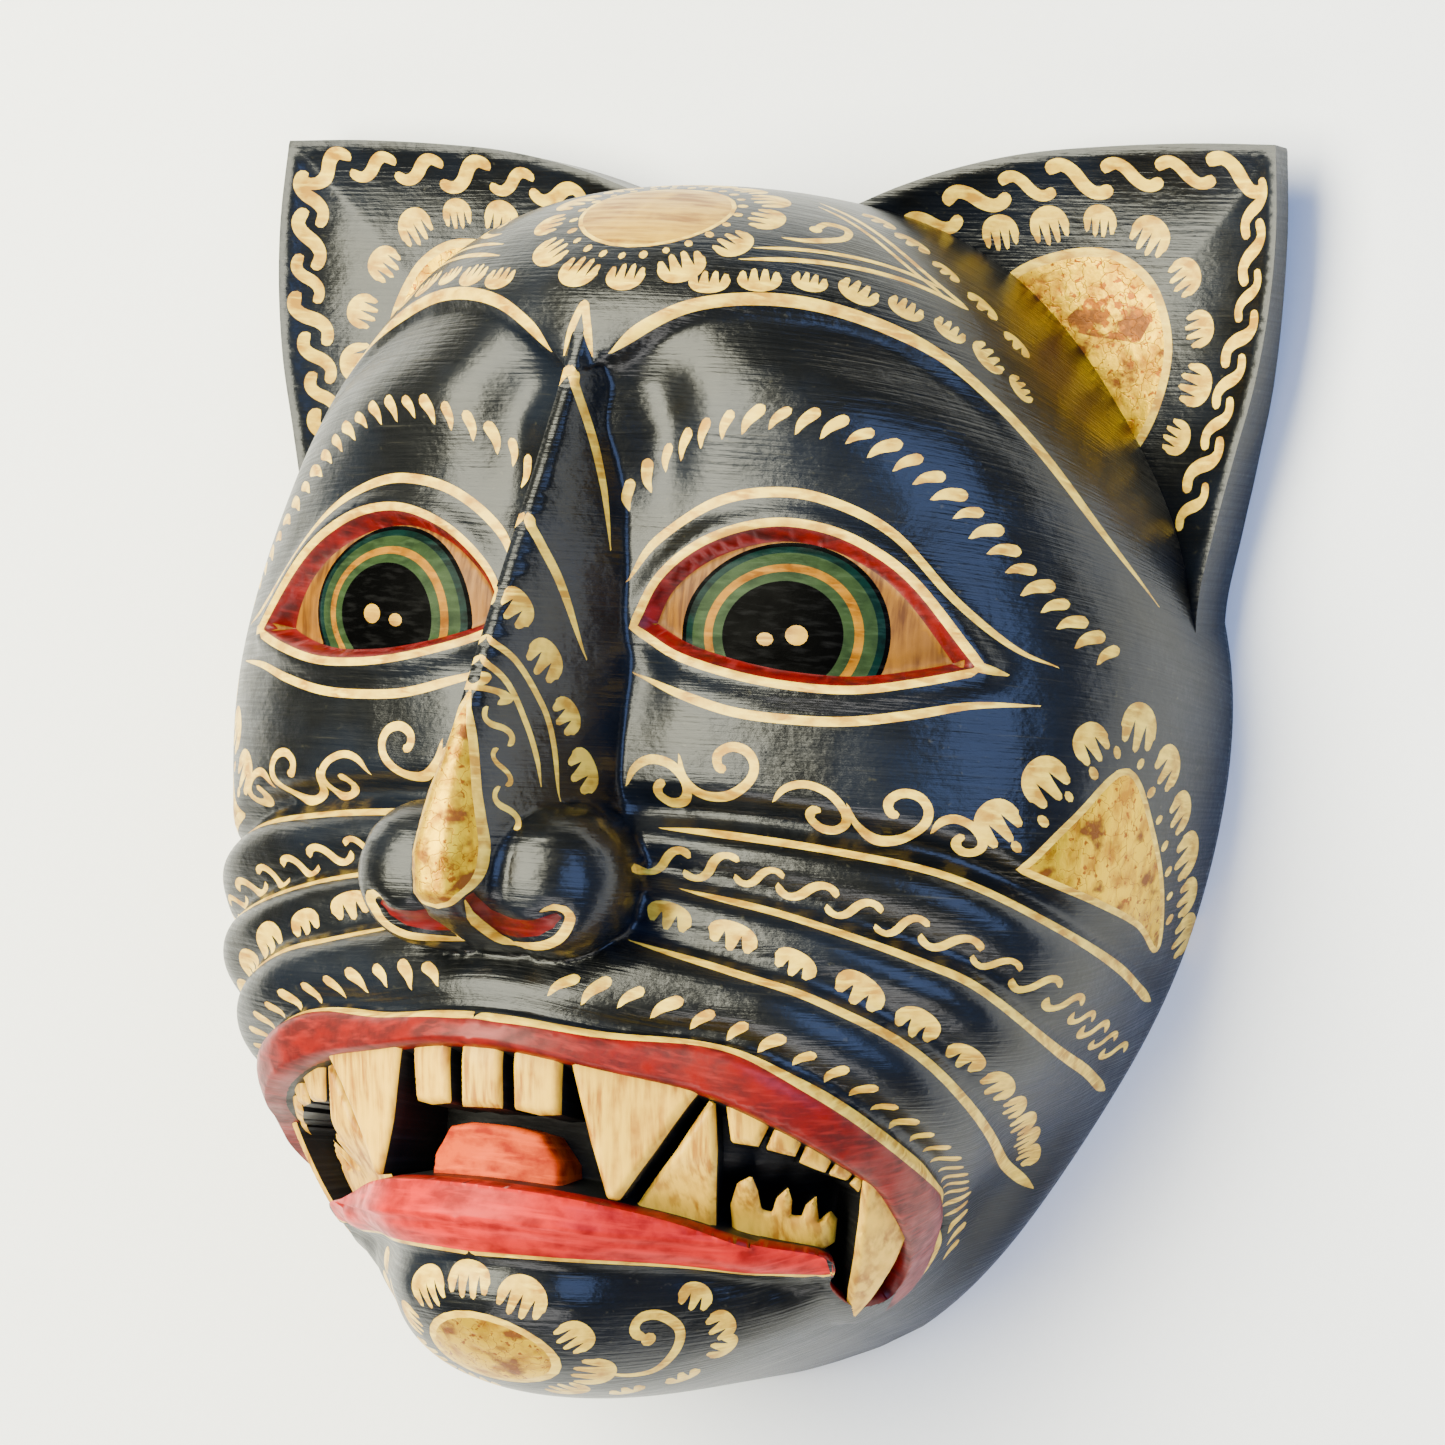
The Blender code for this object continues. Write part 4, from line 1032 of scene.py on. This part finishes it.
def make_ear(name, side, materials):
    angle = np.linspace(math.atan2(*EAR_LINE[-1]), math.atan2(*EAR_LINE[0]), 40)
    reach = rim_reach(angle) - WALL * 0.5
    root = pair(np.sin(angle) * reach, np.cos(angle) * reach)
    ring = even_steps(np.vstack([EAR_LINE, root]), LINE_STEP, closed=True)
    canvas = Canvas(ring, ear_front, LACQUER, NET)
    draw_ear(canvas)
    return make_slab(
        name, canvas, lambda flat: ear_front(*flat.T), ear_back, side, LACQUER, EAR_ROWS, materials
    )


def brush(line, width, start=0.25, stop=0.25, parts=6):
    """Outline of a small brush stroke, narrowed over a share of its length at either end."""
    line = even_steps(smooth_line(line, parts), STAMP_STEP)
    run = unit(np.gradient(line, axis=0))
    left = pair(-run[:, 1], run[:, 0]) * half_widths(len(line), width, start, stop, 0.7, 0.1)[:, None]
    return np.vstack([line + left, (line - left)[::-1]])


def comma_shape(length, width):
    """A teardrop with its thick end forward and a curved tail behind."""
    line = ((-length / 2, -0.08 * length), (-0.1 * length, 0.06 * length), (length / 2, 0.0))
    return brush(line, width, 0.75, 0.16)


def petal_shape(width, height, fingers):
    """A round cap to the left of its heading, with blunt fingers under it and notches between them."""
    turn = np.linspace(0.0, math.pi, 13)
    cap = pair(width / 2 * np.cos(turn), 0.60 * height * np.sin(turn) ** 0.8)
    hem = []
    for finger in range(fingers):
        middle = -width / 2 + width * (finger + 0.5) / fingers
        half = 0.36 * width / fingers
        reach = -0.44 * height * (1.0 if 0 < finger < fingers - 1 else 0.72)
        hem += [(middle - half, -0.05 * height), (middle - 0.6 * half, 0.88 * reach)]
        hem += [(middle + 0.1 * half, reach), (middle + 0.7 * half, 0.8 * reach)]
        hem.append((middle + half, -0.05 * height))
        if finger < fingers - 1:
            hem.append((middle + width / 2 / fingers, 0.2 * height))
    return np.vstack([cap, np.array(hem)])


def wave_shape(length, width):
    """One hooked S of a running wave; the next begins under its crest."""
    line = (
        (-0.53, -0.10), (-0.43, -0.26), (-0.25, -0.31), (-0.07, -0.16), (0.09, 0.14), (0.27, 0.31),
        (0.46, 0.30), (0.57, 0.13),
    )
    return brush(np.array(line) * length, width, 0.12, 0.10)


def scroll_shape(length, width):
    """A tail that rises over and rolls in on itself."""
    line = (
        (0.0, 0.0), (0.17, 0.24), (0.43, 0.33), (0.72, 0.22), (0.90, -0.02), (0.90, -0.22), (0.76, -0.34),
        (0.56, -0.32), (0.44, -0.17), (0.52, -0.04), (0.60, -0.08),
    )
    return brush((np.array(line) - (0.45, 0.0)) * length, width, 0.22, 0.02)


def draw_crown(canvas):
    middle = np.array(MEDALLION)
    canvas.paint(canvas.disc(middle, 15.0, 12.6), CREAM)
    canvas.paint(canvas.disc(middle, 14.2, 11.8), TAN)
    dots = canvas.stamps(middle + oval(17.0, 14.8, 41), 25, oval(0.975, 0.75, 13)[:-1], turn=(90, 90))
    petals = canvas.stamps(middle + oval(22.0, 19.4, 41), 14, petal_shape(8.2, 6.6, 4) * (1, -1))
    for shape in [*dots[:-1], *petals[:-1]]:
        canvas.paint(shape, CREAM)
    canvas.row(CROWN_PETALS, 8, petal_shape(7.6, 5.0, 4) * (1, -1), (1.0, 0.9), (-6, -18))
    for line, shift in ((CROWN_LINE, (-1.8, 3.2)), (CROWN_SLOPE, (-1.8, -1.6))):
        canvas.stroke(line, 1.1, 0.2, 0.05)
        middle = np.mean(line, axis=0)
        canvas.stroke(middle + (line - middle) * 0.84 + shift, 0.9, 0.2, 0.1)
    canvas.row(CROWN_LEAVES, 5, petal_shape(7.4, 4.6, 3), (1.0, 0.9), (10, 10))
    canvas.stroke(CROWN_SCROLL, 1.5, 0.3, 0.05)
    canvas.both(canvas.disc(CROWN_SCROLL[-1], 1.2), CREAM)


def draw_brows(canvas):
    canvas.stroke(BROW_ARC, 2.3, 0.06, 0.35)
    canvas.row(BROW_COMMAS, 24, comma_shape(6.8, 2.3), (0.85, 1.0), (40, 56))


def draw_eye(canvas):
    canvas.stroke(ABOVE_EYE, 1.8, 0.12, 0.3)
    canvas.stroke(BELOW_EYE, 1.7, 0.2, 0.35)
    canvas.stroke(EYE_TAIL, 1.8, 0.05, 0.6)
    ring = eye_ring(8)
    canvas.both(unroll_ring(inset(ring, -1.5)), CREAM)
    canvas.both(unroll_ring(ring), RED)
    inner = even_steps(unroll_ring(inset(ring, 1.9)), LINE_STEP, closed=True)
    canvas.both(inner, EYE_WHITE)
    cos = math.cos(math.radians(IRIS_TILT))
    sin = math.sin(math.radians(IRIS_TILT))
    x, y = oval(*IRIS_REACH, 61)[:-1].T
    circle = pair(x * cos - y * sin, x * sin + y * cos)
    for share, colour in IRIS_RINGS:
        canvas.both(share * circle + IRIS_MIDDLE, colour, inner)
    for glint in EYE_GLINTS:
        canvas.both(canvas.disc(*glint), TAN)


def draw_nose(canvas):
    canvas.stroke(NOSE_TOP_V, 1.5, 0.1, 0.5)
    for line in NOSE_CHEVRONS:
        canvas.stroke(line, 1.9, 0.05, 0.6)
    for line in NOSE_ARCS:
        canvas.stroke(line, 1.25, 0.05, 0.3)
    canvas.row(NOSE_PETALS, 4, petal_shape(8.0, 6.4, 3), turn=(12, 12))
    canvas.row(NOSE_WAVE, 4, wave_shape(6.6, 1.1))
    drop = smooth_line(NOSE_DROP, 6)
    drop = np.vstack([drop, drop[1:-1][::-1] * (-1.0, 1.0)])
    canvas.paint(drop, CREAM)
    canvas.paint(inset(drop, 0.9), GOLD)
    canvas.both(NOSTRIL_RED, RED)
    canvas.stroke(NOSTRIL_LINE, 1.9, 0.2, 0.1)


def draw_cheeks(canvas):
    for start, line in zip(FOLD_STARTS, FOLD_LINES):
        line = [point for point in line if from_rim(np.array([point], float))[0] > 3.0]
        canvas.stroke([start] + [point for point in line if point[0] > start[0] + 4.0], 2.2, 0.12, 0.05)
    canvas.row(WAVE_ROW, 14, wave_shape(9.2, 1.7) * (1.0, 0.85), (1.0, 0.92))
    canvas.row(FOLD_PETALS, 11, petal_shape(9.4, 5.6, 3), (0.95, 1.0), (-4, 0))
    for place, turn, length, over in CHEEK_SCROLLS:
        canvas.both(canvas.stamp(place, turn, scroll_shape(length, 1.7) * (1, over)), CREAM)
    gold = even_steps(smooth_line(CHEEK_GOLD + CHEEK_GOLD[:1], 5), LINE_STEP)[:-1]
    canvas.both(inset(gold, -0.8), CREAM)
    canvas.both(inset(gold, 0.6), GOLD)
    canvas.row(CHEEK_PETALS, 9, petal_shape(8.6, 8.2, 3))
    canvas.row(CHEEK_DOTS, 12, oval(1.275, 0.85, 13)[:-1], turn=(90, 90))


def draw_mouth(canvas):
    canvas.row(LIP_COMMAS, 24, comma_shape(6.6, 2.2), (1.0, 0.85), (38, 112))
    mouth = mouth_ring(8)
    right = mouth[: len(mouth) // 2 + 1]
    top = smooth_line(UPPER_LIP, 6)
    foot = smooth_line(LOWER_LIP, 6)
    closing = right[np.argmax(right[:, 1] < -119.0):]
    canvas.stroke(UPPER_LIP, 4.0, 0.001, 0.1)
    canvas.both(np.vstack([top, closing]), LIP_RED)
    canvas.stroke(LOWER_LIP, 2.0, 0.001, 0.15)
    jaw = right[(right[:, 1] < -79.0) & (right[:, 1] > -100.0) & (right[:, 0] < 61.5)][::-1]
    canvas.both(np.vstack([foot, jaw[np.argsort(-jaw[:, 0])]]), ROSE)
    canvas.paint(inset(mouth, 0.5), MOUTH_BLACK)


def draw_chin(canvas):
    canvas.paint(canvas.disc(CHIN_OVAL, 13.0, 10.4), CREAM)
    canvas.paint(canvas.disc(CHIN_OVAL, 11.4, 8.9), GOLD)
    ring = CHIN_OVAL + oval(19.0, 15.6, 30, 100.0, -60.0)
    top, *others = canvas.stamps(ring, 5, petal_shape(8.7, 7.2, 4), first=0.06, last=0.98)
    canvas.paint(top, CREAM)
    for shape in others:
        canvas.both(shape, CREAM)
    canvas.stroke(CHIN_SCROLL, 1.9, 0.35, 0.05)
    canvas.both(canvas.disc(CHIN_SCROLL[-1], 1.4), CREAM)
    for place, turn in CHIN_PETALS:
        canvas.both(canvas.stamp(place, turn, petal_shape(6.8, 5.2, 3) * (1, -1)), CREAM)


def draw_face(canvas):
    draw_crown(canvas)
    draw_brows(canvas)
    draw_eye(canvas)
    draw_nose(canvas)
    draw_cheeks(canvas)
    draw_mouth(canvas)
    draw_chin(canvas)


def draw_ear(canvas):
    gold = smooth_line(EAR_GOLD + EAR_GOLD[:1], 5)[:-1]
    canvas.paint(inset(gold, -0.8), CREAM)
    canvas.paint(inset(gold, 0.9), GOLD)
    canvas.paint(EAR_WORN, WORN_GOLD)
    canvas.row(EAR_WAVE_TOP, 7, wave_shape(9.8, 2.8) * (1.0, -0.85), mirrored=False)
    canvas.row(EAR_WAVE_SIDE, 8, wave_shape(9.2, 2.7) * (1.0, -0.85), mirrored=False)
    canvas.row(EAR_PETALS, 8, petal_shape(7.4, 6.6, 4), mirrored=False)
    canvas.crease(EAR_VALLEY)


class Paint:
    """A paint being mixed: its shader, and colours, gloss and relief from noise on the piece itself."""

    def __init__(self, name, rough, coat=0.0, metal=0.0, shine=0.25, coat_ior=1.4):
        self.material = bpy.data.materials.new(name)
        self.material.use_nodes = True
        self.tree = self.material.node_tree
        self.shader = self.tree.nodes["Principled BSDF"]
        self.shader.inputs["Roughness"].default_value = rough
        self.shader.inputs["Metallic"].default_value = metal
        self.shader.inputs["Coat Weight"].default_value = coat
        self.shader.inputs["Coat Roughness"].default_value = COAT_ROUGH
        self.shader.inputs["Coat IOR"].default_value = coat_ior
        self.shader.inputs["Specular IOR Level"].default_value = shine
        self.solid = self.node("TexCoord").outputs["Object"]
        self.flat = self.node("UVMap", uv_map="unrolled").outputs["UV"]
        self.normal = None

    def node(self, kind, values=(), links=(), **settings):
        """A new node with these settings, and with values and links on its inputs."""
        node = self.tree.nodes.new("ShaderNode" + kind)
        for name, setting in settings.items():
            setattr(node, name, setting)
        for slot, value in values:
            node.inputs[slot].default_value = value
        for slot, source in links:
            self.tree.links.new(source, node.inputs[slot])
        return node

    def noise(self, place, size, detail=3.0, turn=0.0):
        """Noise whose grains have this size along each direction, in millimetres."""
        whole = CHART_SIZE if place == self.flat else MILLIMETRES
        scale = [whole / length for length in size]
        values = (("Scale", scale), ("Rotation", (0.0, 0.0, math.radians(turn))))
        mapped = self.node("Mapping", values, [("Vector", place)]).outputs["Vector"]
        values = (("Scale", 1.0), ("Detail", detail))
        return self.node("TexNoise", values, [("Vector", mapped)]).outputs["Fac"]

    def cracks(self, size):
        """0 on the cracks between flakes of this size in millimetres, growing away from them."""
        values = [("Scale", (MILLIMETRES / size,) * 3)]
        mapped = self.node("Mapping", values, [("Vector", self.solid)]).outputs["Vector"]
        wander = self.node("TexNoise", [("Scale", 1.3)], [("Vector", mapped)]).outputs["Color"]
        links = ((0, mapped), (2, wander))
        bend = self.node("VectorMath", [(1, (1.0, 1.0, 1.0))], links, operation="MULTIPLY_ADD")
        links = [("Vector", bend.outputs["Vector"])]
        flakes = self.node("TexVoronoi", [("Scale", 1.0)], links, feature="DISTANCE_TO_EDGE")
        return flakes.outputs["Distance"]

    def span(self, value, start, stop, low=0.0, high=1.0):
        """A value brought from one range into another, and held there."""
        values = (("From Min", start), ("From Max", stop), ("To Min", low), ("To Max", high))
        return self.node("MapRange", values, [("Value", value)]).outputs["Result"]

    def blend(self, share, first, second):
        """Two colours, or outputs with colours, mixed by a share."""
        colours = ((6, first), (7, second))
        values = [(slot, (*colour, 1.0)) for slot, colour in colours if isinstance(colour, tuple)]
        links = [(slot, colour) for slot, colour in colours if not isinstance(colour, tuple)]
        return self.node("Mix", values, [(0, share), *links], data_type="RGBA").outputs[2]

    def relief(self, value, depth):
        """Relief of so many millimetres, on top of what is there."""
        below = [("Normal", self.normal)] if self.normal else []
        values = (("Strength", 1.0), ("Distance", depth / MILLIMETRES))
        self.normal = self.node("Bump", values, [("Height", value), *below]).outputs["Normal"]

    def drive(self, slot, value):
        self.tree.links.new(value, self.shader.inputs[slot])

    def finish(self):
        self.drive("Normal", self.normal)
        self.drive("Coat Normal", self.normal)
        return self.material


def lacquer():
    """Black gloss lacquer with broad cuts of the knife under it, brush marks, thin places, and olive-grey
    streaks and specks that are partly rubbed and dusty lacquer and partly painted sheen.
    """
    paint = Paint("lacquer", 0.42, 0.28, shine=0.10, coat_ior=1.75)
    thin = paint.noise(paint.solid, (26.0, 22.0, 24.0))
    streak = paint.noise(paint.flat, (16.0, 0.7, 1.0), 5.0, 8.0)
    dust_and_sheen_specks = paint.noise(paint.solid, (1.6, 1.2, 1.6), 5.0)
    navy = paint.blend(paint.span(thin, 0.42, 0.62), (0.0022, 0.0025, 0.0026), (0.0035, 0.0055, 0.010))
    # Olive-grey streaks along the brush marks and olive-grey specks: partly rubbed and dusty lacquer, partly
    # painted sheen
    rubbed_and_sheen = paint.blend(paint.span(streak, 0.64, 0.80), navy, (0.022, 0.021, 0.015))
    paint.drive("Base Color", paint.blend(paint.span(dust_and_sheen_specks, 0.66, 0.80), rubbed_and_sheen, (0.030, 0.028, 0.018)))
    paint.drive("Roughness", paint.span(streak, 0.3, 0.75, 0.32, 0.55))
    paint.drive("Coat Roughness", paint.span(thin, 0.3, 0.7, 0.12, 0.24))
    paint.relief(paint.noise(paint.solid, (11.0, 9.0, 11.0), 1.0), 0.45)
    paint.relief(streak, 0.16)
    paint.relief(dust_and_sheen_specks, 0.10)
    return paint.finish()


def brushed(name, colour, dark, rough=0.45, coat=0.12, share=(0.36, 0.62), grain=(5.0, 1.1, 1.0), shine=0.25):
    """Paint laid on with a brush: thick and thin along the stroke, and darker where it is thin."""
    paint = Paint(name, rough, coat, shine=shine)
    streak = paint.noise(paint.flat, grain, 4.0, 20.0)
    patch = paint.noise(paint.solid, (4.5, 3.6, 4.0), 4.0)
    deep = paint.blend(paint.span(patch, *share), dark, colour)
    light = tuple(min(1.0, part * 1.22 + 0.004) for part in colour)
    paint.drive("Base Color", paint.blend(paint.span(streak, 0.50, 0.70), deep, light))
    paint.drive("Roughness", paint.span(patch, 0.3, 0.7, rough + 0.12, rough - 0.10))
    paint.relief(streak, 0.08)
    paint.relief(patch, 0.14)
    return paint.finish()


def gold_leaf(name, wear):
    """Gold leaf over brown ground: wrinkled, cracked along its flakes and rubbed through in places."""
    paint = Paint(name, 0.36, 0.0, 1.0)
    worn = paint.noise(paint.solid, (8.5, 6.5, 8.0), 7.0)
    speckle = paint.noise(paint.solid, (1.5, 1.5, 1.5), 4.0)
    fold = paint.noise(paint.solid, (3.4, 4.4, 3.0), 4.0)
    flake = paint.cracks(3.6)
    tone = paint.blend(paint.span(fold, 0.34, 0.56), (0.36, 0.155, 0.0008), (0.68, 0.41, 0.0015))
    crazed = paint.blend(paint.span(flake, 0.0, 0.022), (0.24, 0.07, 0.002), tone)
    rubbed_and_sheen = paint.blend(paint.span(worn, wear, wear + 0.07), crazed, (0.17, 0.05, 0.003))
    specks = paint.span(speckle, wear + 0.06, wear + 0.10)
    paint.drive("Base Color", paint.blend(specks, rubbed_and_sheen, (0.26, 0.075, 0.002)))
    paint.drive("Metallic", paint.span(worn, wear, wear + 0.12, 0.65, 0.3))
    paint.drive("Roughness", paint.span(worn, 0.3, 0.7, 0.32, 0.55))
    paint.relief(fold, 0.30)
    paint.relief(paint.span(flake, 0.0, 0.03), 0.03)
    return paint.finish()


def grained(name, colour, dark, rough=0.42, coat=0.1, grain=(1.1, 14.0, 2.6), turn=0.0):
    """Wood under clear or thin paint: long grain, knife cuts and darker pores."""
    paint = Paint(name, rough, coat)
    line = paint.noise(paint.solid, grain, 5.0, turn)
    patch = paint.noise(paint.solid, (7.0, 9.0, 7.0), 3.0)
    wood = paint.blend(paint.span(line, 0.40, 0.60), dark, colour)
    light = tuple(min(1.0, part * 1.12) for part in colour)
    paint.drive("Base Color", paint.blend(paint.span(patch, 0.45, 0.7), wood, light))
    paint.drive("Roughness", paint.span(line, 0.3, 0.7, rough + 0.12, rough - 0.08))
    paint.relief(line, 0.08)
    paint.relief(patch, 0.30)
    return paint.finish()


def make_palette():
    """The paints, in the order of their numbers."""
    return [
        lacquer(),
        brushed("cream", (0.86, 0.56, 0.055), (0.46, 0.22, 0.012)),
        gold_leaf("gold", 0.56),
        brushed("red", (0.12, 0.0012, 0.0006), (0.04, 0.0006, 0.0003), 0.40, 0.04, (0.35, 0.60)),
        brushed("lip_red", (0.18, 0.003, 0.001), (0.07, 0.001, 0.0005), 0.42, 0.02),
        brushed("rose", (0.54, 0.012, 0.011), (0.26, 0.003, 0.003), 0.42, 0.04, grain=ALONG_LIP, shine=0.12),
        brushed("mouth_black", (0.003, 0.003, 0.003), (0.001, 0.001, 0.001), 0.5, 0.05),
        grained("eye_white", (0.21, 0.080, 0.002), (0.085, 0.026, 0.0006), 0.50, 0.0),
        brushed("eye_black", (0.0010, 0.0010, 0.0010), (0.0006, 0.0006, 0.0006), 0.35, 0.0, shine=0.01),
        brushed("teal", (0.002, 0.014, 0.011), (0.001, 0.004, 0.003), 0.28, 0.0, shine=0.04),
        brushed("green", (0.022, 0.040, 0.014), (0.011, 0.022, 0.008), 0.30, 0.0, shine=0.04),
        brushed("ochre", (0.28, 0.115, 0.005), (0.14, 0.045, 0.001), 0.32, 0.0, shine=0.04),
        grained("bare_wood", (0.30, 0.15, 0.05), (0.15, 0.065, 0.018), 0.7, 0.0),
        grained("tan_gold", (0.52, 0.29, 0.014), (0.25, 0.105, 0.003), 0.4, 0.05, (16.0, 1.0, 2.0)),
        gold_leaf("worn_gold", 0.44),
    ]


def placed(place, right, up, back):
    """The matrix of something at a place, whose own axes have these directions."""
    return Matrix.Translation(Vector(place)) @ Matrix((right, up, back)).transposed().to_4x4()


def make_camera():
    turn = math.radians(CAMERA_TURN)
    tilt = math.radians(CAMERA_TILT)
    roll = math.radians(CAMERA_ROLL)
    back = Vector((math.sin(turn) * math.cos(tilt), math.sin(tilt), math.cos(turn) * math.cos(tilt)))
    level = Vector((math.cos(turn), 0.0, -math.sin(turn)))
    rise = back.cross(level)
    right = math.cos(roll) * level + math.sin(roll) * rise
    up = -math.sin(roll) * level + math.cos(roll) * rise
    camera = add_object("camera", bpy.data.cameras.new("camera"))
    camera.matrix_world = placed(to_frame(CAMERA_PLACE), right, up, back)
    camera.data.sensor_width = SENSOR_WIDTH
    camera.data.lens = CAMERA_FOCAL_PIXELS / PHOTO_PIXELS * SENSOR_WIDTH
    camera.data.clip_end = 20.0
    bpy.context.scene.camera = camera


def make_stage():
    """A pale matt floor that runs far beyond the picture, and a soft pale sky."""
    bpy.ops.mesh.primitive_plane_add(size=FLOOR_SIZE, location=(0.0, 0.0, 0.0))
    floor = bpy.context.object
    floor.name = "floor"
    paint = Paint("floor", 0.85)
    fibre = paint.noise(paint.solid, (1.6, 2.4, 1.0), 5.0)
    paint.drive("Base Color", paint.blend(fibre, (0.90, 0.90, 0.895), (0.94, 0.94, 0.94)))
    paint.relief(fibre, 0.05)
    floor.data.materials.append(paint.finish())
    world = bpy.data.worlds.new("sky")
    bpy.context.scene.world = world
    world.use_nodes = True
    sky = world.node_tree.nodes["Background"]
    sky.inputs["Color"].default_value = (*SKY_COLOUR, 1.0)
    sky.inputs["Strength"].default_value = SKY_STRENGTH


def make_lights():
    for name, place, size, power, colour in LIGHTS:
        light = bpy.data.lights.new(name, "AREA")
        light.shape = "RECTANGLE"
        light.size, light.size_y = size
        light.energy = power
        light.color = colour
        back = (Vector(place) - Vector(LIGHTS_AIM)).normalized()
        right = Vector((0.0, 1.0, 0.0)).cross(back).normalized()
        add_object(name, light).matrix_world = placed(place, right, back.cross(right), back)


make_camera()
make_stage()
make_lights()
palette = make_palette()
ivory = [grained("tooth", (0.82, 0.47, 0.032), (0.40, 0.16, 0.007), 0.48, 0.10), palette[MOUTH_BLACK]]
pink = brushed("tongue", (0.58, 0.06, 0.003), (0.28, 0.014, 0.001), 0.60, 0.0, grain=ALONG_TONGUE, shine=0.10)
make_face(palette)
make_tooth("tooth_middle", MIDDLE_TOOTH, 0.0, 1, ivory)
make_tooth("tongue", TONGUE, TONGUE_SINK, 1, [pink])
for side, word in ((1, "right"), (-1, "left")):
    for number, (outline, sink) in enumerate(TEETH):
        make_tooth(f"tooth_{word}_{number + 1}", outline, sink, side, ivory, jaw=number in LOWER_TEETH)
    make_tooth(f"tusk_{word}", TUSK, -1.0, side, ivory, tusk=True)
    make_ear(f"ear_{word}", side, palette)
